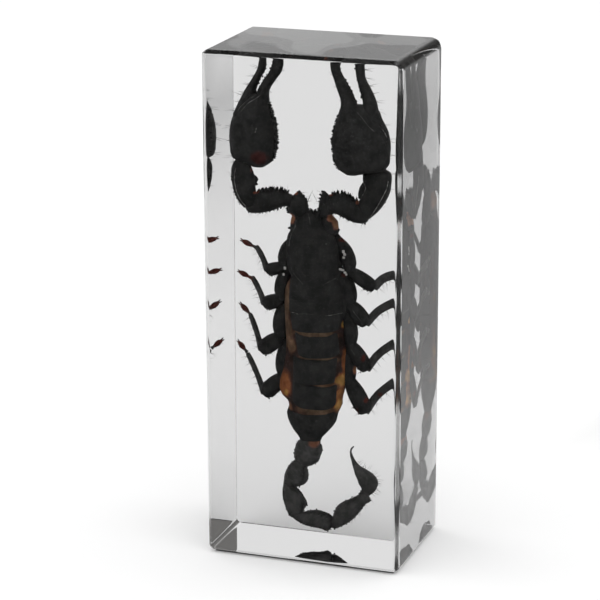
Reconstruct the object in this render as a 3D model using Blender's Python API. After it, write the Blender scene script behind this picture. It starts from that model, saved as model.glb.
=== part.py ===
"""A black scorpion sealed upright in a clear resin block.

Lengths here are in millimetres and become metres when a mesh is made. X runs across the block,
Y from its front face to its back and Z up, and the origin is the middle of the base. The scorpion
hangs head up with its back towards the front face. Left and right are as seen from the front.
"""

import math

import bmesh
import bpy
from mathutils import Vector

MM = 0.001
SMOOTH_ANGLE = math.radians(40)
UP = Vector((0.0, 0.0, 1.0))
BACKWARDS = Vector((0.0, 1.0, 0.0))

# Clear block, parted on a plane through the specimen so that each half holds an open recess.
BLOCK_WIDTH = 43.0
BLOCK_DEPTH = 30.0
BLOCK_HEIGHT = 110.0
EDGE_RADIUS = 1.5
EDGE_SEGMENTS = 3
PARTING_Y = 5.5
PARTING_GAP = 0.3

# Number of sides of each kind of limb.
BODY_SIDES = 12
CLAW_SIDES = 8
TAIL_SIDES = 7
LEG_SIDES = 5
HOOK_SIDES = 3

# Bodies of near-vertical axis are slices: height, left edge, right edge and half depth.
BODY_Y = 5.5
CARAPACE = (
    (74.2, -3.4, -0.2, 1.6),
    (73.0, -4.9, 0.7, 2.4),
    (71.2, -5.9, 1.9, 3.0),
    (69.1, -7.1, 3.3, 3.4),
    (65.7, -7.4, 4.5, 3.7),
    (60.8, -6.6, 4.6, 3.9),
    (57.7, -4.5, 2.7, 3.6),
)
ABDOMEN = (
    (60.2, -6.4, 4.4, 3.3),
    (57.2, -7.7, 5.1, 3.6),
    (54.1, -7.9, 5.3, 3.6),
    (43.4, -7.6, 6.0, 3.8),
    (36.2, -8.9, 5.6, 3.7),
    (33.6, -8.5, 5.0, 3.5),
    (31.4, -6.9, 4.8, 3.2),
)
LAST_PLATE = (
    (31.9, -7.1, 4.7, 3.4),
    (29.8, -7.5, 4.2, 3.6),
    (28.2, -7.2, 3.7, 3.4),
    (26.4, -6.1, 2.5, 2.9),
    (24.9, -4.9, 1.2, 2.5),
    (23.4, -4.2, 0.2, 2.0),
)

# Plates of the back: top, bottom, left edge and right edge. They stand proud of the abdomen.
BACK_PLATES = (
    (58.9, 56.7, -6.7, 4.9),
    (56.2, 52.7, -7.2, 5.2),
    (52.2, 48.7, -7.0, 5.5),
    (47.4, 43.2, -6.4, 5.7),
    (42.0, 36.9, -6.8, 5.6),
    (36.0, 31.4, -6.8, 4.9),
)
PLATE_Y = 5.0
PLATE_HALF_DEPTH = 3.7
PLATE_RISE = 0.25

# Mouth parts, from their root to their tip.
CHELICERAE = (
    ((-2.5, 5.0, 72.6), (-2.3, 4.4, 75.6)),
    ((-0.4, 5.0, 72.6), (-0.6, 4.4, 75.7)),
)
CHELICERA_HALF_WIDTH = 1.1
CHELICERA_HALF_DEPTH = 1.4

# Pedipalps: stations are centre x, y, z, half width and half depth.
LEFT_PEDIPALP = {
    "coxa": (
        (-5.4, 7.0, 70.2, 1.3, 2.2),
        (-4.9, 6.4, 73.5, 1.6, 2.3),
        (-4.3, 6.0, 75.8, 1.6, 2.1),
    ),
    "trochanter": (
        (-3.9, 5.7, 74.8, 1.6, 1.9),
        (-4.9, 5.3, 76.0, 2.0, 2.1),
        (-6.3, 5.0, 76.3, 1.4, 1.8),
    ),
    "femur": (
        (-5.9, 5.0, 76.3, 1.2, 1.7),
        (-7.9, 4.7, 76.7, 1.8, 2.0),
        (-10.1, 4.5, 76.5, 2.4, 2.2),
        (-12.7, 4.4, 76.2, 2.5, 2.3),
        (-15.0, 4.5, 75.7, 2.2, 2.2),
        (-16.2, 4.6, 75.4, 1.4, 1.6),
    ),
    "patella": (
        (-15.0, 4.6, 74.4, 1.4, 1.8),
        (-15.8, 4.3, 76.2, 2.3, 2.4),
        (-16.5, 4.0, 78.7, 2.4, 2.5),
        (-16.7, 4.0, 80.8, 2.6, 2.5),
        (-17.0, 4.3, 82.9, 2.2, 2.3),
        (-17.1, 4.7, 85.0, 1.3, 1.8),
    ),
}
RIGHT_PEDIPALP = {
    "coxa": (
        (2.6, 7.0, 70.7, 1.3, 2.2),
        (1.8, 6.4, 73.6, 1.7, 2.3),
        (0.6, 6.0, 75.7, 1.7, 2.1),
    ),
    "trochanter": (
        (0.1, 5.7, 75.1, 1.6, 1.9),
        (0.8, 5.3, 76.4, 2.0, 2.1),
        (2.0, 5.0, 76.6, 1.5, 1.8),
    ),
    "femur": (
        (1.5, 5.0, 76.6, 1.3, 1.7),
        (3.3, 4.7, 76.6, 2.0, 2.0),
        (5.5, 4.5, 76.1, 2.5, 2.2),
        (8.0, 4.3, 75.6, 2.4, 2.3),
        (10.2, 4.3, 75.2, 2.1, 2.2),
        (11.4, 4.4, 74.9, 1.3, 1.6),
    ),
    "patella": (
        (9.6, 4.5, 73.9, 1.3, 1.8),
        (11.1, 4.3, 76.5, 2.6, 2.4),
        (12.1, 4.1, 78.9, 2.8, 2.5),
        (12.7, 4.1, 81.3, 2.9, 2.5),
        (13.0, 4.3, 83.5, 2.9, 2.3),
        (13.0, 4.6, 85.8, 1.8, 1.9),
    ),
}
CLAW_Y = 5.1
LEFT_CLAW = {
    "hand": (
        (83.5, -14.2, -12.2, 1.2),
        (84.2, -15.8, -10.8, 2.2),
        (85.4, -18.8, -10.1, 3.0),
        (87.4, -19.8, -9.4, 3.4),
        (90.2, -20.0, -9.0, 3.5),
        (95.6, -18.5, -10.4, 2.8),
        (97.6, -17.2, -11.2, 2.3),
        (99.2, -15.6, -11.1, 1.8),
    ),
    "outer_finger": (
        (94.6, -19.1, -16.2, 2.2),
        (97.9, -17.4, -14.4, 1.9),
        (100.1, -16.2, -13.8, 1.7),
        (102.3, -14.8, -13.0, 1.5),
        (104.5, -13.6, -11.8, 1.3),
        (106.6, -13.1, -11.6, 1.1),
        (108.2, -12.5, -11.6, 0.6),
    ),
    "inner_finger": (
        (97.2, -14.4, -11.0, 2.0),
        (99.9, -13.4, -11.0, 1.7),
        (102.1, -12.3, -9.7, 1.5),
        (104.3, -10.8, -8.2, 1.3),
        (106.6, -10.1, -7.9, 1.1),
        (108.2, -10.1, -8.9, 0.6),
    ),
}
RIGHT_CLAW = {
    "hand": (
        (82.9, 6.6, 8.6, 1.2),
        (83.7, 5.2, 10.4, 2.2),
        (85.2, 3.9, 14.6, 3.0),
        (87.4, 2.7, 15.9, 3.4),
        (90.2, 2.5, 16.0, 3.5),
        (93.4, 3.1, 14.9, 3.2),
        (95.6, 4.0, 13.6, 2.7),
        (97.2, 4.7, 12.8, 2.1),
    ),
    "inner_finger": (
        (96.4, 4.7, 8.5, 2.1),
        (98.9, 4.8, 7.8, 1.9),
        (101.0, 4.1, 7.0, 1.7),
        (103.3, 3.2, 5.6, 1.5),
        (105.3, 2.5, 4.7, 1.3),
        (107.0, 2.4, 4.5, 1.1),
        (108.4, 3.0, 4.2, 0.6),
    ),
    "outer_finger": (
        (96.6, 9.6, 13.0, 2.2),
        (98.9, 9.5, 12.4, 1.9),
        (101.4, 8.8, 11.3, 1.6),
        (103.9, 8.2, 10.1, 1.4),
        (106.0, 7.8, 9.8, 1.2),
        (107.4, 7.8, 9.6, 1.0),
        (108.6, 8.0, 9.0, 0.6),
    ),
}

# Walking legs: hip, elbow, knee, ankle, instep and toe.
LEG_JOINTS = {
    "left_1": (
        (-6.3, 6.3, 67.6), (-7.9, 5.2, 61.8), (-11.9, 5.6, 60.7),
        (-14.8, 8.2, 65.4), (-15.9, 8.9, 65.4), (-18.4, 9.8, 66.2),
    ),
    "left_2": (
        (-6.9, 6.3, 61.5), (-8.5, 5.2, 54.6), (-12.6, 5.6, 53.1),
        (-15.8, 8.2, 58.5), (-16.9, 8.9, 58.5), (-19.1, 9.8, 59.2),
    ),
    "left_3": (
        (-7.2, 6.3, 54.3), (-8.8, 5.2, 46.2), (-13.4, 5.6, 42.7),
        (-16.3, 8.2, 50.0), (-16.9, 8.9, 50.4), (-18.8, 9.8, 51.9),
    ),
    "left_4": (
        (-7.0, 6.3, 45.6), (-8.2, 5.2, 37.2), (-12.8, 5.6, 32.9),
        (-17.0, 8.2, 41.2), (-17.8, 8.9, 41.9), (-19.4, 9.8, 43.3),
    ),
    "right_1": (
        (3.8, 6.3, 68.4), (6.6, 5.2, 62.2), (12.0, 5.6, 59.0),
        (17.2, 8.0, 61.9), (18.0, 8.4, 62.4), (18.9, 8.9, 63.6),
    ),
    "right_2": (
        (4.0, 6.3, 62.0), (6.8, 5.2, 55.0), (10.3, 5.6, 50.8),
        (17.2, 8.0, 56.1), (18.0, 8.4, 55.7), (18.9, 9.0, 55.3),
    ),
    "right_3": (
        (4.3, 6.3, 54.7), (6.9, 5.2, 46.1), (10.5, 5.6, 40.7),
        (17.2, 8.0, 47.2), (18.0, 8.5, 47.0), (18.9, 9.2, 46.7),
    ),
    "right_4": (
        (4.1, 6.3, 46.0), (6.8, 5.2, 37.8), (10.3, 5.6, 31.1),
        (17.2, 8.0, 38.6), (18.0, 8.6, 38.8), (18.9, 9.7, 39.1),
    ),
}
# Half widths of each leg's femur, patella and tibia.
LEG_WIDTHS = {
    "left_1": (1.3, 1.3, 0.6),
    "left_2": (1.5, 1.5, 0.6),
    "left_3": (1.6, 1.7, 0.6),
    "left_4": (1.5, 1.7, 0.6),
    "right_1": (1.5, 1.4, 0.9),
    "right_2": (1.5, 1.6, 0.9),
    "right_3": (1.6, 1.6, 0.9),
    "right_4": (1.4, 1.8, 0.9),
}
HIP_OFFSET = Vector((1.8, 1.2, 1.3))
FEMUR_BOW = 0.8
TIBIA_BOW = 0.7
FEMUR_HALF_DEPTH = 1.3
TIBIA_HALF_DEPTH = 0.8
FOOT_HALF_WIDTHS = (0.42, 0.32, 0.52, 0.22)
FOOT_DEPTH_SHARE = 1.2
HOOK_LENGTH = 0.9
HOOK_HALF_WIDTH = 0.17

# Tail segments: start, end, half width and sideways bow, then the sting's bulb and point.
TAIL = (
    ((-2.2, 5.8, 24.0), (-3.4, 6.2, 17.8), 2.85, 0.0),
    ((-4.2, 6.2, 18.3), (-6.2, 6.8, 12.0), 2.6, -0.3),
    ((-7.1, 6.8, 12.3), (-5.4, 7.2, 5.8), 2.3, 0.0),
    ((-5.9, 7.2, 6.1), (2.1, 7.4, 3.6), 2.1, 0.2),
    ((1.9, 7.4, 3.6), (10.3, 7.0, 12.4), 2.1, -0.2),
)
TAIL_DEPTH_SHARE = 0.85
BULB = (
    (9.8, 7.0, 12.2, 1.1, 1.3),
    (10.9, 6.8, 14.0, 1.7, 1.8),
    (10.7, 6.6, 16.1, 1.9, 2.0),
    (9.4, 6.4, 17.7, 1.5, 1.6),
    (8.2, 6.2, 18.9, 0.9, 1.0),
)
STING = (
    (8.6, 6.2, 18.5, 0.8, 0.8),
    (7.5, 6.0, 20.0, 0.5, 0.6),
    (7.0, 5.9, 21.6, 0.3, 0.4),
    (7.5, 5.8, 23.0, 0.1, 0.1),
)

# Profiles: place along a limb from 0 to 1, and the share of its half width there.
FEMUR_PROFILE = ((0.0, 0.75), (0.35, 1.0), (0.75, 1.05), (1.0, 0.75))
PATELLA_PROFILE = ((0.0, 0.75), (0.5, 1.05), (1.0, 0.55))
TIBIA_PROFILE = ((0.0, 1.2), (0.5, 1.05))
TAIL_PROFILE = ((0.0, 0.68), (0.2, 0.98), (0.8, 0.98), (1.0, 0.68))
MOUTH_PROFILE = ((0.0, 0.9), (0.6, 1.0), (1.0, 0.4))
HOOK_PROFILE = ((0.0, 1.0), (1.0, 0.2))

# Pocket: roomier rings, of few sides, for each limb.
POCKET_CLEARANCE = 0.5
POCKET_BODY_CLEARANCE = 1.3
POCKET_BODY_SIDES = 6
POCKET_LIMB_SIDES = 4
HOOK_ROOM = 1.2


def material(name, colour, roughness, transmission=0.0):
    made = bpy.data.materials.new(name)
    made.use_nodes = True
    shader = made.node_tree.nodes["Principled BSDF"]
    shader.inputs["Base Color"].default_value = (*colour, 1.0)
    shader.inputs["Roughness"].default_value = roughness
    shader.inputs["Metallic"].default_value = 0.0
    shader.inputs["Transmission Weight"].default_value = transmission
    return made


def add_object(name, bm, surface=None):
    """The mesh as an object in metres, shaded smooth except across sharp edges."""
    bmesh.ops.scale(bm, vec=(MM, MM, MM), verts=bm.verts)
    bmesh.ops.recalc_face_normals(bm, faces=bm.faces)
    mesh = bpy.data.meshes.new(name)
    bm.to_mesh(mesh)
    bm.free()
    mesh.shade_smooth()
    mesh.set_sharp_from_angle(angle=SMOOTH_ANGLE)
    if surface:
        mesh.materials.append(surface)
    made = bpy.data.objects.new(name, mesh)
    bpy.context.scene.collection.objects.link(made)
    return made


def slice_rings(slices, y):
    """Level rings of an upright body from its slices."""
    return [
        (Vector(((left + right) / 2, y, height)), (right - left) / 2, half_depth, UP)
        for height, left, right, half_depth in slices
    ]


def path_rings(stations):
    """Rings that each lie square to the path through the stations' centres."""
    centres = [centre for centre, *_ in stations]
    ahead = centres[1:] + centres[-1:]
    behind = centres[:1] + centres[:-1]
    return [
        (*station, (after - before).normalized())
        for station, after, before in zip(stations, ahead, behind)
    ]


def station_rings(stations):
    return path_rings([(Vector((x, y, z)), *half_sizes) for x, y, z, *half_sizes in stations])


def limb_stations(start, end, profile, half_width, half_depth, bow=0.0):
    """Stations of a limb from start to end that swells by its profile and bows sideways."""
    start, end = Vector(start), Vector(end)
    sideways = (end - start).cross(BACKWARDS).normalized()
    return [
        (
            start.lerp(end, place) + sideways * bow * 4 * place * (1 - place),
            half_width * share,
            half_depth * share,
        )
        for place, share in profile
    ]


def limb_rings(*limb):
    return path_rings(limb_stations(*limb))


def plate_rings(top, bottom, left, right):
    """A plate of the back, which rises towards its lower edge, where it overlaps the next."""
    upper = (top, left, right, PLATE_HALF_DEPTH)
    lower = (bottom, left, right, PLATE_HALF_DEPTH + PLATE_RISE)
    return slice_rings((upper, lower), PLATE_Y)


def leg_limbs(side, joints, half_widths):
    """The thigh, patella and shin of one walking leg, side being -1 for left and 1 for right."""
    hip, elbow, knee, ankle, instep, toe = (Vector(joint) for joint in joints)
    femur, patella, tibia = half_widths
    root = hip + Vector((-side * HIP_OFFSET.x, HIP_OFFSET.y, HIP_OFFSET.z))
    thigh = limb_stations(hip, elbow, FEMUR_PROFILE, femur, FEMUR_HALF_DEPTH, side * FEMUR_BOW)
    thigh.insert(0, (root, *thigh[0][1:]))
    middle = limb_stations(elbow, knee, PATELLA_PROFILE, patella, FEMUR_HALF_DEPTH)
    shin = limb_stations(knee, ankle, TIBIA_PROFILE, tibia, TIBIA_HALF_DEPTH, side * TIBIA_BOW)
    foot_centres = (ankle, instep, instep.lerp(toe, 0.5), toe)
    shin += [
        (centre, half_width, half_width * FOOT_DEPTH_SHARE)
        for centre, half_width in zip(foot_centres, FOOT_HALF_WIDTHS)
    ]
    return [(path_rings(stations), LEG_SIDES) for stations in (thigh, middle, shin)]


def hook_limbs(instep, toe):
    """Two small hooks that spread from the end of a foot."""
    forward = (toe - instep).normalized()
    spread = forward.cross(BACKWARDS).normalized()
    heel = toe - forward * HOOK_LENGTH / 2
    tips = [toe + (forward + spread * turn / 2) * HOOK_LENGTH for turn in (-1, 1)]
    return [
        (limb_rings(heel, tip, HOOK_PROFILE, HOOK_HALF_WIDTH, HOOK_HALF_WIDTH), HOOK_SIDES)
        for tip in tips
    ]


def body_limbs():
    limbs = [
        (slice_rings(CARAPACE, BODY_Y), BODY_SIDES),
        (slice_rings(LAST_PLATE, BODY_Y), BODY_SIDES),
    ]
    limbs += [(plate_rings(*plate), BODY_SIDES) for plate in BACK_PLATES]
    for root, tip in CHELICERAE:
        half_sizes = CHELICERA_HALF_WIDTH, CHELICERA_HALF_DEPTH
        limbs.append((limb_rings(root, tip, MOUTH_PROFILE, *half_sizes), LEG_SIDES))
    return limbs


def pedipalp_limbs(arm, claw):
    limbs = [(station_rings(stations), CLAW_SIDES) for stations in arm.values()]
    return limbs + [(slice_rings(slices, CLAW_Y), CLAW_SIDES) for slices in claw.values()]


def tail_limbs():
    limbs = [
        (
            limb_rings(start, end, TAIL_PROFILE, half_width, half_width * TAIL_DEPTH_SHARE, bow),
            TAIL_SIDES,
        )
        for start, end, half_width, bow in TAIL
    ]
    return limbs + [(station_rings(BULB), TAIL_SIDES), (station_rings(STING), LEG_SIDES)]


def leg_sides():
    """Each walking leg's side, joints and half widths."""
    return [
        (-1 if name.startswith("left") else 1, joints, LEG_WIDTHS[name])
        for name, joints in LEG_JOINTS.items()
    ]


def scorpion_limbs():
    """Every limb of the scorpion except the abdomen, which they all join."""
    limbs = body_limbs() + tail_limbs()
    limbs += pedipalp_limbs(LEFT_PEDIPALP, LEFT_CLAW)
    limbs += pedipalp_limbs(RIGHT_PEDIPALP, RIGHT_CLAW)
    for side, joints, half_widths in leg_sides():
        limbs += leg_limbs(side, joints, half_widths)
        limbs += hook_limbs(*(Vector(joint) for joint in joints[-2:]))
    return limbs


def envelope(rings, sides, clearance=POCKET_CLEARANCE):
    """Rings, of so many sides, that keep outside the given ones and run on past both ends."""
    grown = 1 / math.cos(math.pi / sides)
    (start, *_, start_along), (end, *_, end_along) = rings[0], rings[-1]
    way = clearance if (end - start).dot(start_along) > 0 else -clearance
    centres = [centre for centre, *_ in rings]
    centres[0] = start - start_along * way
    centres[-1] = end + end_along * way
    roomy = [
        (centre, (half_width + clearance) * grown, (half_depth + clearance) * grown, along)
        for centre, (_, half_width, half_depth, along) in zip(centres, rings)
    ]
    return roomy, sides


def pocket_limbs():
    """The room that the pocket leaves for every limb but the abdomen."""
    limbs = [rings for rings, sides in body_limbs() + tail_limbs() if sides != BODY_SIDES]
    for arm, claw in ((LEFT_PEDIPALP, LEFT_CLAW), (RIGHT_PEDIPALP, RIGHT_CLAW)):
        limbs += [rings for rings, _ in pedipalp_limbs(arm, claw)]
    for leg in leg_sides():
        thigh, patella, shin = (rings for rings, _ in leg_limbs(*leg))
        toe, half_width, half_depth, along = shin[-1]
        shin[-1] = (toe + along * HOOK_LENGTH * HOOK_ROOM, half_width, half_depth, along)
        limbs += [thigh, patella, shin]
    body = [slice_rings(slices, BODY_Y) for slices in (CARAPACE, LAST_PLATE)]
    return [envelope(rings, POCKET_LIMB_SIDES) for rings in limbs] + [
        envelope(rings, POCKET_BODY_SIDES) for rings in body
    ]


def make_pocket():
    """The cutter that leaves room for the scorpion in both halves of the block."""
    abdomen = envelope(slice_rings(ABDOMEN, BODY_Y), POCKET_BODY_SIDES, POCKET_BODY_CLEARANCE)
    pocket = fused("pocket", abdomen, pocket_limbs())
    pocket.hide_render = True
    pocket.display_type = "WIRE"
    return pocket


def loft(rings, sides):
    """A closed mesh through elliptical rings."""
    bm = bmesh.new()
    loops = []
    for centre, half_width, half_depth, along in rings:
        depth_axis = (BACKWARDS - along * along.y).normalized()
        width_axis = along.cross(depth_axis)
        corners = []
        for side in range(sides):
            angle = 2 * math.pi * (side + 0.5) / sides
            across = width_axis * half_width * math.cos(angle)
            corners.append(bm.verts.new(centre + across + depth_axis * half_depth * math.sin(angle)))
        loops.append(corners)
    for lower, upper in zip(loops, loops[1:]):
        for side in range(sides):
            after = (side + 1) % sides
            bm.faces.new((lower[side], lower[after], upper[after], upper[side]))
    bm.faces.new(loops[0])
    bm.faces.new(loops[-1])
    bmesh.ops.triangulate(bm, faces=bm.faces)
    return bm


def fused(name, core, limbs, surface=None):
    """One solid: the core with every limb joined to it, each given as rings and a side count."""
    parts = bpy.data.collections.new(name + "_limbs")
    bpy.context.scene.collection.children.link(parts)
    for index, (rings, sides) in enumerate(limbs):
        move_to(add_object(f"{name}_limb_{index}", loft(rings, sides)), parts)
    body = add_object(name, loft(*core), surface)
    join = body.modifiers.new("Limbs", "BOOLEAN")
    join.operation = "UNION"
    join.operand_type = "COLLECTION"
    join.collection = parts
    join.solver = "EXACT"
    return body


def move_to(piece, collection):
    """Puts a helper piece in a collection where it only guides a Boolean."""
    bpy.context.scene.collection.objects.unlink(piece)
    collection.objects.link(piece)
    piece.hide_render = True
    piece.display_type = "WIRE"


def block_half(name, outer_y, parting_y, surface, pocket):
    """One half of the block, its outer edges rounded and its parting face left square."""
    bm = bmesh.new()
    bmesh.ops.create_cube(bm, size=1.0)
    size = (BLOCK_WIDTH, abs(outer_y - parting_y), BLOCK_HEIGHT)
    bmesh.ops.scale(bm, vec=size, verts=bm.verts)
    centre = (0, (outer_y + parting_y) / 2, BLOCK_HEIGHT / 2)
    bmesh.ops.translate(bm, vec=centre, verts=bm.verts)
    outer_edges = [
        edge
        for edge in bm.edges
        if any(abs(vert.co.y - parting_y) > EDGE_RADIUS for vert in edge.verts)
    ]
    bmesh.ops.bevel(
        bm,
        geom=outer_edges,
        offset=EDGE_RADIUS,
        segments=EDGE_SEGMENTS,
        profile=0.5,
        affect="EDGES",
    )
    half = add_object(name, bm, surface)
    cut = half.modifiers.new("Pocket", "BOOLEAN")
    cut.operation = "DIFFERENCE"
    cut.object = pocket
    cut.solver = "EXACT"
    return half


def clear_scene():
    for item in list(bpy.data.objects):
        bpy.data.objects.remove(item, do_unlink=True)


def main():
    clear_scene()
    cuticle = material("black_cuticle", (0.012, 0.011, 0.010), roughness=0.35)
    resin = material("clear_resin", (0.95, 0.96, 0.95), roughness=0.02, transmission=1.0)
    fused("scorpion", (slice_rings(ABDOMEN, BODY_Y), BODY_SIDES), scorpion_limbs(), cuticle)
    pocket = make_pocket()
    block_half("resin_front", -BLOCK_DEPTH / 2, PARTING_Y - PARTING_GAP / 2, resin, pocket)
    block_half("resin_back", BLOCK_DEPTH / 2, PARTING_Y + PARTING_GAP / 2, resin, pocket)


main()
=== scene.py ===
"""Looks of the scorpion in resin block: one clear block round a detailed black scorpion.

Lengths in the tables are in millimetres, in the CAD's frame: X across the block, Y from its front
face to its back, Z up from its base. Left and right are as seen from the front.
"""
import math

import bmesh
import bpy
import numpy as np
from mathutils import Matrix, Vector, noise
from mathutils.bvhtree import BVHTree


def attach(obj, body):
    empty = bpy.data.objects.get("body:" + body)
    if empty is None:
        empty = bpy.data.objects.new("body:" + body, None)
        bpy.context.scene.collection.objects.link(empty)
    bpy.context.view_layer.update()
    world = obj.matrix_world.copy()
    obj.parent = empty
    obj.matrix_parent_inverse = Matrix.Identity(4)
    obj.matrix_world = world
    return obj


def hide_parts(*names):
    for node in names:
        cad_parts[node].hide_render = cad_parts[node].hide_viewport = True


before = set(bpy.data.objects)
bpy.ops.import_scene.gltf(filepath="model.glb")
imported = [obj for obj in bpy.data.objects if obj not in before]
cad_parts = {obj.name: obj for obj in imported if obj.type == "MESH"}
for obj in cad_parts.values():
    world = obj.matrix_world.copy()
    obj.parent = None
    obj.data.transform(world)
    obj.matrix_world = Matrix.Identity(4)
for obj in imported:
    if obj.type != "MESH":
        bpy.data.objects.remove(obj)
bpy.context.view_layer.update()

MM = 0.001
UP = np.array((0.0, 0.0, 1.0))
DOWN = -UP
RIGHT = np.array((1.0, 0.0, 0.0))
LEFT = -RIGHT
BACK = np.array((0.0, 1.0, 0.0))
FRONT = -BACK
RANDOM = np.random.default_rng(7)

BLOCK = (43.0, 30.0, 110.0)

# ---- scorpion: stations of its limbs
BODY_Y = 5.5
# Hairs are cut short of the block's side faces.
MOST_HAIR_X = BLOCK[0] / 2 - 0.4
# Level slices of the trunk, from the top down: z, left, right and half depth.
CARAPACE = (
    (74.2, -3.4, -0.2, 1.6), (73.0, -4.9, 0.7, 2.4), (71.2, -5.9, 1.9, 3.0), (69.1, -7.1, 3.3, 3.4),
    (65.7, -7.5, 4.5, 3.7), (60.8, -6.8, 4.6, 3.9), (57.7, -4.5, 2.7, 3.6),
)
ABDOMEN = (
    (60.2, -6.4, 4.4, 3.3), (57.2, -7.7, 5.1, 3.6), (54.1, -7.9, 5.3, 3.6), (48.5, -7.7, 5.7, 3.75),
    (43.4, -7.6, 6.0, 3.8), (39.5, -8.2, 6.0, 3.8), (36.2, -9.1, 5.7, 3.7), (33.6, -8.7, 5.1, 3.5),
    (31.4, -7.1, 4.8, 3.2),
)
# Left x, z, right x, z, half depth, and how far the front edge sags in the middle.
LAST_PLATE = (
    (-5.0, 32.6, 3.6, 32.6, 3.0, 2.6), (-5.9, 31.9, 4.35, 31.9, 3.35, 3.0),
    (-7.1, 30.6, 4.25, 30.9, 3.5, 2.3), (-7.5, 29.4, 4.0, 29.6, 3.55, 1.2),
    (-7.25, 28.0, 3.65, 28.2, 3.4, 0.6), (-6.75, 26.8, 2.8, 26.9, 3.1, 0.2),
    (-6.0, 25.5, 1.7, 25.6, 2.7, 0.0), (-4.9, 24.2, 0.6, 24.4, 2.3, 0.0),
    (-4.3, 23.3, 0.15, 23.5, 2.0, 0.0),
)
# Corners x, z: top left, top right, bottom left, bottom right; sag of both edges; thickness.
BACK_PLATES = (
    ((-6.2, 60.5), (5.7, 60.5), (-6.5, 55.0), (6.0, 55.5), 0.3, 0.3, 0.3),
    ((-6.4, 55.6), (6.0, 56.1), (-6.4, 52.6), (6.1, 53.0), 0.2, 0.2, 0.32),
    ((-6.2, 53.2), (6.0, 53.7), (-5.6, 48.7), (4.8, 49.5), 0.2, 0.6, 0.38),
    ((-5.0, 48.0), (4.4, 48.7), (-4.2, 43.3), (5.0, 44.2), 1.0, 0.9, 0.36),
    ((-5.4, 42.6), (4.5, 43.1), (-5.4, 36.9), (3.9, 37.7), 0.7, 0.5, 0.4),
    ((-5.5, 37.3), (4.4, 37.0), (-5.6, 32.3), (4.0, 32.5), 0.95, 1.3, 0.42),
)
# Top, bottom, left and right.
BELLY_PLATES = (
    (51.6, 46.8, -6.9, 5.1), (46.4, 42.0, -6.9, 5.4), (41.6, 36.8, -7.2, 5.4), (36.4, 31.8, -7.3, 4.9),
)
# Parts drawn by their edges: y at both ends, half depth to half width, and rows of x, z, x, z.
ARMS = {
    "left_coxa": (6.6, 6.0, 1.3, (
        (-6.8, 69.4, -3.6, 69.8), (-6.8, 70.7, -4.0, 71.4), (-6.6, 72.3, -4.0, 72.7),
        (-6.3, 73.3, -4.4, 73.6),
    )),
    "left_trochanter": (5.6, 5.2, 0.9, (
        (-6.4, 73.4, -2.9, 73.3), (-7.1, 74.4, -2.7, 74.8), (-6.8, 75.4, -2.8, 76.2),
        (-6.5, 76.8, -3.3, 77.3), (-5.9, 77.7, -3.9, 78.0), (-5.1, 78.5, -4.3, 78.7),
    )),
    "left_femur": (5.0, 3.4, 0.9, (
        (-6.2, 77.8, -6.7, 75.1), (-7.3, 78.2, -7.6, 75.2), (-8.5, 78.6, -8.7, 74.9),
        (-9.8, 78.7, -10.2, 74.2), (-11.2, 78.6, -12.0, 73.7), (-13.0, 78.2, -13.8, 73.4),
        (-14.4, 77.6, -15.1, 73.4), (-15.3, 76.4, -15.9, 73.8),
    )),
    "left_patella": (2.4, 3.4, 0.8, (
        (-16.5, 74.7, -13.9, 75.6), (-17.7, 76.0, -13.6, 77.2), (-18.6, 77.8, -13.8, 78.4),
        (-19.1, 79.7, -14.0, 79.8), (-19.3, 81.7, -14.2, 81.6), (-19.2, 83.3, -14.9, 83.4),
        (-18.7, 84.4, -15.6, 84.5), (-18.0, 85.3, -16.2, 85.3),
    )),
    "right_coxa": (6.6, 6.0, 1.2, (
        (-0.7, 69.9, 3.9, 70.2), (-0.4, 71.2, 3.8, 71.5), (-0.2, 72.4, 3.6, 72.6), (0.3, 73.5, 2.7, 73.7),
        (0.8, 74.4, 2.3, 74.6),
    )),
    "right_trochanter": (5.6, 5.2, 0.9, (
        (-0.2, 73.6, 2.8, 74.3), (-0.3, 75.2, 3.1, 75.1), (-0.2, 76.4, 2.9, 76.2), (0.1, 77.5, 2.7, 77.4),
        (0.4, 78.4, 2.2, 78.1), (0.7, 79.1, 1.4, 78.9),
    )),
    "right_femur": (5.0, 4.4, 0.95, (
        (2.1, 78.5, 2.5, 74.8), (3.2, 78.7, 3.4, 74.6), (4.3, 78.8, 4.5, 74.2), (5.5, 78.7, 5.6, 73.8),
        (6.8, 78.3, 6.8, 73.3), (7.8, 77.8, 7.9, 73.0), (8.8, 77.3, 9.5, 72.9), (9.7, 76.5, 10.6, 73.3),
    )),
    "right_patella": (4.4, 4.3, 0.9, (
        (8.4, 75.1, 9.9, 73.3), (8.6, 76.6, 11.5, 74.3), (8.8, 77.7, 12.8, 75.5), (9.4, 78.8, 14.0, 77.0),
        (10.0, 80.1, 15.2, 79.1), (10.1, 81.0, 15.7, 80.6), (9.8, 81.9, 15.8, 81.9),
        (9.7, 83.1, 15.9, 83.2), (9.9, 84.1, 15.6, 84.2), (10.8, 85.0, 14.3, 85.0),
    )),
    "right_lobe": (3.6, 3.4, 0.5, (
        (8.8, 78.4, 9.9, 78.4), (8.8, 79.6, 10.5, 79.7), (9.1, 80.7, 10.7, 80.9), (9.7, 81.8, 10.5, 81.9),
    )),
}
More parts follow.
